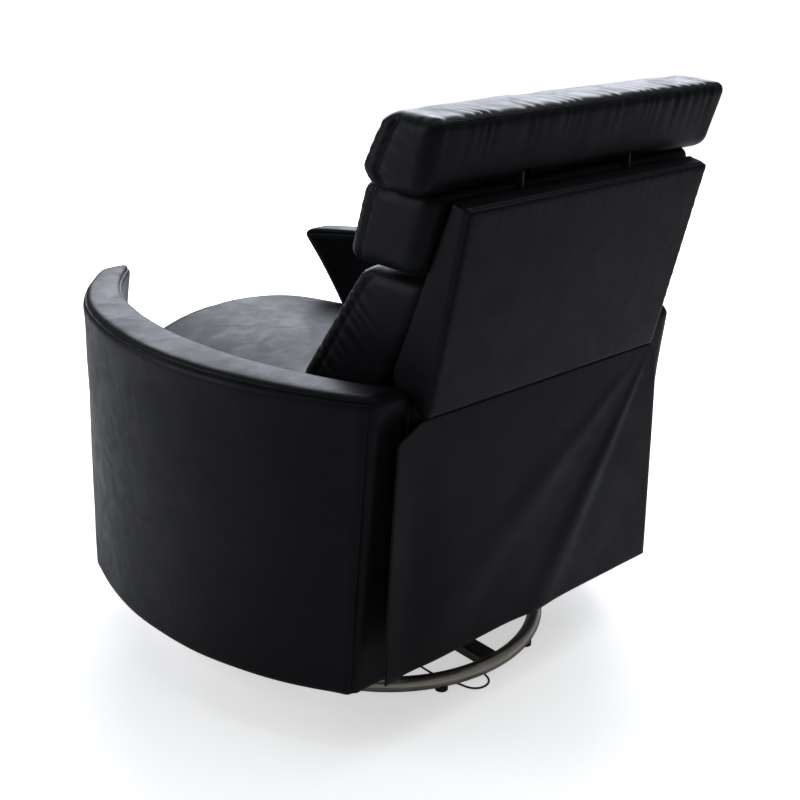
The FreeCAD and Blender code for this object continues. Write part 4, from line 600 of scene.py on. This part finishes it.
def evenly_meshed(node, name, voxel, shrink):
    """A leather-covered copy of a CAD solid in even small faces, a little smaller than it."""
    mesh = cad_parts[node].data.copy()
    mesh.materials.clear()
    mesh.materials.append(leather)
    piece = bpy.data.objects.new(name, mesh)
    scene.collection.objects.link(piece)
    remesh = piece.modifiers.new("even", "REMESH")
    remesh.mode = "VOXEL"
    remesh.voxel_size = voxel
    settled(piece)
    solid = tree_of(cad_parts[node])
    spots, normals = spots_of(piece), normals_of(piece)
    for number, spot in enumerate(spots):
        spots[number] = np.array(solid.find_nearest(Vector(spot))[0])
    move_to(piece, spots - normals * shrink)
    smooth = piece.modifiers.new("smooth", "SMOOTH")
    smooth.factor = 0.5
    smooth.iterations = 3
    settled(piece)
    return piece, solid


PATH_STEP, PATH_GAP = 2.0, 0.3


def along_path(corners, closed=False):
    """Evenly spaced points in metres along straight runs through corners given in millimetres."""
    corners = [Vector(corner) for corner in corners] + ([Vector(corners[0])] if closed else [])
    found = []
    for start, end in zip(corners, corners[1:]):
        count = max(1, round((end - start).length / PATH_STEP))
        found += [start.lerp(end, k / count) * MM for k in range(count)]
    return found + [corners[-1] * MM]


def path_tree(paths):
    """A search tree over the points of paths, and how far along the paths each point lies."""
    tree = KDTree(sum(len(path) for path in paths))
    number, reaches = 0, []
    for path in paths:
        reach = 0.0
        for index, spot in enumerate(path):
            reach += (spot - path[index - 1]).length if index else PATH_GAP
            tree.insert(spot, number)
            reaches.append(reach)
            number += 1
    tree.balance()
    return tree, reaches


SEWN_SPREAD = 0.012
CLOTH_FRAMES = 20


def stuff(piece, solid, seams, pressure, slack, gather, out, deep):
    """Blows a cover up: it is a little too large for its shape and sewn tighter along its seams."""
    tree, _ = path_tree(seams)
    group = piece.vertex_groups.new(name="sewn")
    for vertex in piece.data.vertices:
        distance = tree.find(vertex.co)[2]
        group.add([vertex.index], math.exp(-(distance / SEWN_SPREAD) ** 2), "REPLACE")
    cloth = piece.modifiers.new("stuffing", "CLOTH")
    settings = cloth.settings
    settings.quality = 5
    settings.mass = 0.3
    settings.tension_stiffness = 25
    settings.compression_stiffness = 25
    settings.shear_stiffness = 8
    settings.bending_stiffness = 0.8
    settings.use_pressure = True
    settings.uniform_pressure_force = pressure
    settings.effector_weights.gravity = 0
    settings.vertex_group_shrink = "sewn"
    settings.shrink_min = -slack
    settings.shrink_max = gather
    cloth.point_cache.frame_end = CLOTH_FRAMES
    for number in range(1, CLOTH_FRAMES + 1):
        scene.frame_set(number)
    settled(piece)
    scene.frame_set(1)
    spots = spots_of(piece)
    for number, spot in enumerate(spots):
        near, normal, _, _ = solid.find_nearest(Vector(spot))
        height = (Vector(spot) - near).dot(normal)
        if height > out or height < -deep:
            spots[number] = np.array(near + normal * min(max(height, -deep), out))
    move_to(piece, spots)
    refined(piece)


# Millimetres from one pleat to the next, and how far from the seam they start, fade and end.
PLEAT_LENGTH, PLEAT_START, PLEAT_FADE, PLEAT_END = 24.0, 5, 26, 70


def sew(piece, seams, depth, pleat, seed, width=5.0):
    """Draws the cover in along its seams, with short pleats that fade away from them."""
    tree, reaches = path_tree(seams)
    spots, normals = spots_of(piece), normals_of(piece)
    for number, spot in enumerate(spots):
        _, index, distance = tree.find(Vector(spot))
        reach, away = reaches[index] / MM, distance / MM
        if away > PLEAT_END:
            continue
        phase = reach / PLEAT_LENGTH + 1.3 * noise.noise(Vector((reach / 60, seed, 0)))
        strong = 0.35 + 0.65 * abs(noise.noise(Vector((reach / 45, seed + 9, 0)))) * 2
        fold = math.sin(2 * math.pi * phase) * math.exp(-away / PLEAT_FADE)
        fold *= 1 - math.exp(-away / PLEAT_START)
        lift = pleat * strong * fold - depth * math.exp(-(away / width) ** 2)
        spots[number] += normals[number] * lift * MM
    move_to(piece, spots)


SEAM_SINK = 0.25


def seam_line(name, piece, paths, body, radius=0.9):
    """The dark fold of leather that shows along a seam, laid on the finished cover."""
    surface = tree_of(piece)
    curve = bpy.data.curves.new(name, "CURVE")
    curve.dimensions = "3D"
    curve.bevel_depth = radius * MM
    curve.bevel_resolution = 1
    for path in paths:
        spots = []
        for spot in path[::2]:
            near, normal, _, _ = surface.find_nearest(spot)
            spots.append(near - normal * SEAM_SINK * MM)
        line = curve.splines.new("POLY")
        line.points.add(len(spots) - 1)
        for point, spot in zip(line.points, spots):
            point.co = (*spot, 1)
    curve.materials.append(leather)
    seam = bpy.data.objects.new(name, curve)
    scene.collection.objects.link(seam)
    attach(seam, body)


def finish_cushion(piece, node, body, seams, depth, pleat, seed):
    """Sews a cover, and puts it in its solid's place."""
    sew(piece, seams, depth, pleat, seed)
    seam_line(node + "_seams", piece, seams, body)
    upholster(piece, node, body)


def pressed_cushion(node, body, seams, voxel, out=0.003, seed=1):
    """A firm cushion whose cover is stuffed over its solid."""
    piece, solid = evenly_meshed(node, node + "_cover", voxel, 0.003)
    stuff(piece, solid, seams, pressure=4.0, slack=0.01, gather=0.02, out=out, deep=0.006)
    finish_cushion(piece, node, body, seams, depth=2.5, pleat=0.8, seed=seed)
    return piece


def both(paths):
    """The paths, and their mirror images on the chair's other side."""
    return paths + [[Vector((-spot.x, spot.y, spot.z)) for spot in path] for path in paths]


def along_line(corners, share):
    """Points at shares of the way along a bent line of (y, z) corners."""
    corners = np.array(corners, float)
    runs = np.linalg.norm(np.diff(corners, axis=0), axis=1)
    reach = np.concatenate([[0], np.cumsum(runs)]) / runs.sum()
    return np.stack([np.interp(share, reach, corners[:, axis]) for axis in (0, 1)], axis=-1)


def block_place(x, deep, high, front, rear):
    """A place in metres in a cushion, from its shares of the depth and the height."""
    at_front, at_rear = along_line(front, high), along_line(rear, high)
    side_view = at_front + (at_rear - at_front) * np.asarray(deep)[..., None]
    return np.concatenate([np.asarray(x)[..., None], side_view], axis=-1) * MM


def block_path(x, deep, high, front, rear):
    """A path through places in a cushion, given by their shares of its depth and height."""
    return [Vector(spot) for spot in block_place(*np.broadcast_arrays(x, deep, high), front, rear)]


SWELL_POWER, LEAST_SWELL = 2.3, 0.2
# The wrinkles are longer from front to rear and upwards than across.
WRINKLE_SIZE, WRINKLE_STRETCH, LEAST_WRINKLE = 0.055, (1, 0.6, 0.6), 0.3


def block_cushion(node, body, front, rear, half, depth_size, height_size, setback, puff, rear_seam=False,
                  held=0.15, wrinkle=1.6, depth=3.0, pleat=1.8, rounding=26, step=8.0, seed=1):
    """A soft stuffed block with sewn ends: its front panel wraps round to a seam set back on each end."""
    size = (2 * half, depth_size, height_size)
    rows = [np.linspace(0, length, round(length / step) + 1) for length in size]
    flat, faces, _ = upholstered_slab(rows, rounding)
    share = np.clip(flat / np.array(size), 0, 1)
    points = block_place(flat[:, 0] - half, share[:, 1], share[:, 2], front, rear)
    normals = point_normals(points, faces)
    swell = np.prod(np.maximum(LEAST_SWELL, 1 - np.abs(2 * share - 1) ** SWELL_POWER), axis=1)
    # The board behind the cushion and the seat below it hold its filling in.
    swell *= np.where((normals[:, 1] > 0.5) | (normals[:, 2] < -0.7), held, 1)
    pulls = wrinkle * waves(points * np.array(WRINKLE_STRETCH), WRINKLE_SIZE, seed)
    pulls *= np.maximum(swell, LEAST_WRINKLE)
    points = points + normals * ((puff * swell + pulls) * MM)[:, None]
    piece = mesh_piece(node + "_cover", points, faces, leather)
    refined(piece)
    heights = np.linspace(0.04, 0.96, round(height_size / 2))
    seams = both([block_path(half, setback, heights, front, rear)])
    if rear_seam:
        widths = np.linspace(-half * 0.97, half * 0.97, round(half))
        seams.append(block_path(widths, 1.0, 1.0, front, rear))
    finish_cushion(piece, node, body, seams, depth, pleat, seed)
    return piece


# Seat cushion
# One wide crowned cushion between the arms, with a sewn edge across its front.
SEAT_CROWN, SEAT_HALF, FRONT_SEAM_Z = 24, 345, 462
seat_seam = along_path([(-SEAT_HALF, -505, FRONT_SEAM_Z), (-150, -520, FRONT_SEAM_Z + 4),
                        (0, -522, FRONT_SEAM_Z + 6), (150, -520, FRONT_SEAM_Z + 4),
                        (SEAT_HALF, -505, FRONT_SEAM_Z)])
seat_cover = pressed_cushion("seat_cushion", "chair", [seat_seam], voxel=0.008, out=0.004, seed=2)
# It is fuller in its middle than its solid, and gives way to the bent tips of the arms. The crown
# starts above the seam and fades out towards the back and the front edge.
CROWN_LOW_Z, CROWN_RISE = 430, 40
CROWN_REAR_Y, REAR_FADE = 150, 130
CROWN_FRONT_Y, FRONT_FADE = -520, 90
seat_spots = spots_of(seat_cover) / MM
x, y, z = seat_spots.T
on_top = np.clip((z - CROWN_LOW_Z) / CROWN_RISE, 0, 1)
on_top *= np.clip((CROWN_REAR_Y - y) / REAR_FADE, 0, 1)
on_top *= np.clip((y - CROWN_FRONT_Y) / FRONT_FADE, 0, 1)
seat_spots[:, 2] += SEAT_CROWN * on_top * np.clip(1 - (x / SEAT_HALF) ** 2, 0, 1)
seat_spots[:, 0] -= tip_curl(y, z) * x / SEAT_HALF
move_to(seat_cover, seat_spots * MM)

# Footrest pad
# A thin foam pad wrapped over a board, sewn round its face.
PAD_RIM_X, PAD_RIM_Z, PAD_RIM_BACK = 232, 122, 4
pad_low, pad_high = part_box("foot_pad")
pad_middle = (pad_low + pad_high) / 2 / MM
pad_rim = along_path([(right * PAD_RIM_X, pad_middle.y + PAD_RIM_BACK, pad_middle.z + upper * PAD_RIM_Z)
                      for right, upper in ((-1, -1), (1, -1), (1, 1), (-1, 1))], closed=True)
pressed_cushion("foot_pad", "footrest", [pad_rim], voxel=0.006, seed=3)

# Back shell
# A padded board with two wings, covered in one smooth leather jacket with a seam beside its rear
# edges.
SHELL_TOP, SHELL_LOW = Vector((268, 534, 927)), Vector((268, 453, 602))
SHELL_SEAM_IN, SHELL_SEAM_RISE = 7, 2
shell, _ = evenly_meshed("back_shell", "back_shell_cover", voxel=0.005, shrink=0.0)
refined(shell)
shell_up = (SHELL_TOP - SHELL_LOW).normalized()
shell_in = Vector((0, -shell_up.z, shell_up.y)) * SHELL_SEAM_IN
top_middle = (0, SHELL_TOP.y - SHELL_SEAM_IN, SHELL_TOP.z + SHELL_SEAM_RISE)
shell_seams = both([along_path([SHELL_LOW + shell_in, SHELL_TOP + shell_in, top_middle])])
sew(shell, shell_seams, depth=1.2, pleat=0.2, seed=5, width=2.4)
seam_line("back_shell_seams", shell, shell_seams, "back", radius=0.7)
upholster(shell, "back_shell", "back")

# Lumbar cushion
# The lower back cushion. Its front panel wraps round to a seam on each side. Its front and rear are
# bent lines of y and z, seen from the side.
LUMBAR_FRONT = [(58, 474), (140, 606), (292, 806)]
LUMBAR_REAR = [(252, 486), (368, 644), (442, 804)]
block_cushion("lumbar_cushion", "back", LUMBAR_FRONT, LUMBAR_REAR, half=259, depth_size=165, height_size=350,
              setback=0.2, puff=17, pleat=2.4, seed=6)

# Upper cushion
# The shoulder cushion, sewn like the lumbar one and standing on it.
UPPER_FRONT = [(292, 820), (338, 952)]
UPPER_REAR = [(445, 818), (493, 946)]
block_cushion("upper_cushion", "back", UPPER_FRONT, UPPER_REAR, half=292, depth_size=150, height_size=136,
              setback=0.22, puff=15, seed=7)


# Headrest
# A loose roll of fibre and foam: a top panel, a back panel and two gathered ends, with two slots
# in its under side for the steel arms.
def slotted(piece, boxes):
    """Cuts boxes, given by their low and high corners in millimetres, out of a piece."""
    sides = [(0, 1, 3, 2), (4, 6, 7, 5), (0, 4, 5, 1), (2, 3, 7, 6), (0, 2, 6, 4), (1, 5, 7, 3)]
    for low, high in boxes:
        corners = [(x, y, z) for x in (low[0], high[0]) for y in (low[1], high[1]) for z in (low[2], high[2])]
        cutter = mesh_piece("cutter", [Vector(corner) * MM for corner in corners], sides, leather, False)
        trim = piece.modifiers.new("slot", "BOOLEAN")
        trim.operation = "DIFFERENCE"
        trim.object = cutter
        trim.use_self = True
        settled(piece)
        bpy.data.objects.remove(cutter)


HEAD_FRONT = [(390, 942), (365, 972), (416, 1054)]
HEAD_REAR = [(492, 944), (524, 1049)]
headrest = block_cushion("headrest", "headrest", HEAD_FRONT, HEAD_REAR, half=322, depth_size=112,
                         height_size=118, setback=0.3, puff=11, rear_seam=True, held=0.7, wrinkle=3.0,
                         depth=4.5, pleat=2.4, rounding=20, step=6.0, seed=8)
SLOT_X, SLOT_WIDTH = 120, 14
SLOT_LOW, SLOT_HIGH = (372, 900), (497, 980)
slotted(headrest, [((x - SLOT_WIDTH / 2, *SLOT_LOW), (x + SLOT_WIDTH / 2, *SLOT_HIGH))
                   for x in (-SLOT_X, SLOT_X)])

# Skirt
# A loose leather flap sewn under the shell, which hides the mechanism behind the sitter's legs.
SKIRT_TOP_HALF, SKIRT_LOW_HALF = 268, 330
SKIRT_TOP_Z, SKIRT_LOW_Z = 602.5, 156
SKIRT_TOP_Y, SKIRT_LOW_Y = 446.5, 424
SKIRT_THICKNESS = 1.6
# Share of the widening that is done just under the seam, on the left side and on the right.
LEFT_FLARE, RIGHT_FLARE, FLARE_END = 0.8, 0.35, 0.06
# Two folds fan out from the seam's right end: direction in radians, spread and height.
SKIRT_FOLDS = [(1.05, 0.07, 5), (0.66, 0.09, 4)]
FAN_INSET = 20
# A dent beside the left edge: depth, place and spread across the half width.
DENT_DEPTH, DENT_AT, DENT_SPREAD = 6, 0.86, 0.14
WAVE_HEIGHT, HANG_RATE = 2.5, 2.2
across_count, down_count = 120, 90
skirt_points = []
for down in range(down_count + 1):
    share = down / down_count
    for across in range(across_count + 1):
        sweep = 2 * across / across_count - 1
        early = LEFT_FLARE if sweep > 0 else RIGHT_FLARE
        flare = min(1.0, share / FLARE_END) * early + share * (1 - early)
        half = SKIRT_TOP_HALF + (SKIRT_LOW_HALF - SKIRT_TOP_HALF) * flare
        x = half * sweep
        z = SKIRT_TOP_Z + (SKIRT_LOW_Z - SKIRT_TOP_Z) * share
        y = SKIRT_TOP_Y + (SKIRT_LOW_Y - SKIRT_TOP_Y) * share
        hang = min(1.0, share * HANG_RATE)
        from_corner = math.atan2(SKIRT_TOP_Z - z + FAN_INSET, x + SKIRT_TOP_HALF + FAN_INSET)
        for direction, spread, height in SKIRT_FOLDS:
            y += height * math.exp(-((from_corner - direction) / spread) ** 2) * hang
        y -= DENT_DEPTH * math.exp(-((sweep - DENT_AT) / DENT_SPREAD) ** 2) * hang
        y += WAVE_HEIGHT * noise.noise(Vector((x / 120, z / 160, 2))) * hang
        skirt_points.append((x * MM, y * MM, z * MM))
row = across_count + 1
skirt_faces = [(a, a + 1, a + 1 + row, a + row)
               for down in range(down_count) for a in range(down * row, down * row + across_count)]
skirt = mesh_piece("back_skirt_flap", skirt_points, skirt_faces, leather)
thicken = skirt.modifiers.new("hide", "SOLIDIFY")
thicken.thickness = SKIRT_THICKNESS * MM
thicken.offset = 0
settled(skirt)
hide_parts("back_skirt")
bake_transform(skirt)
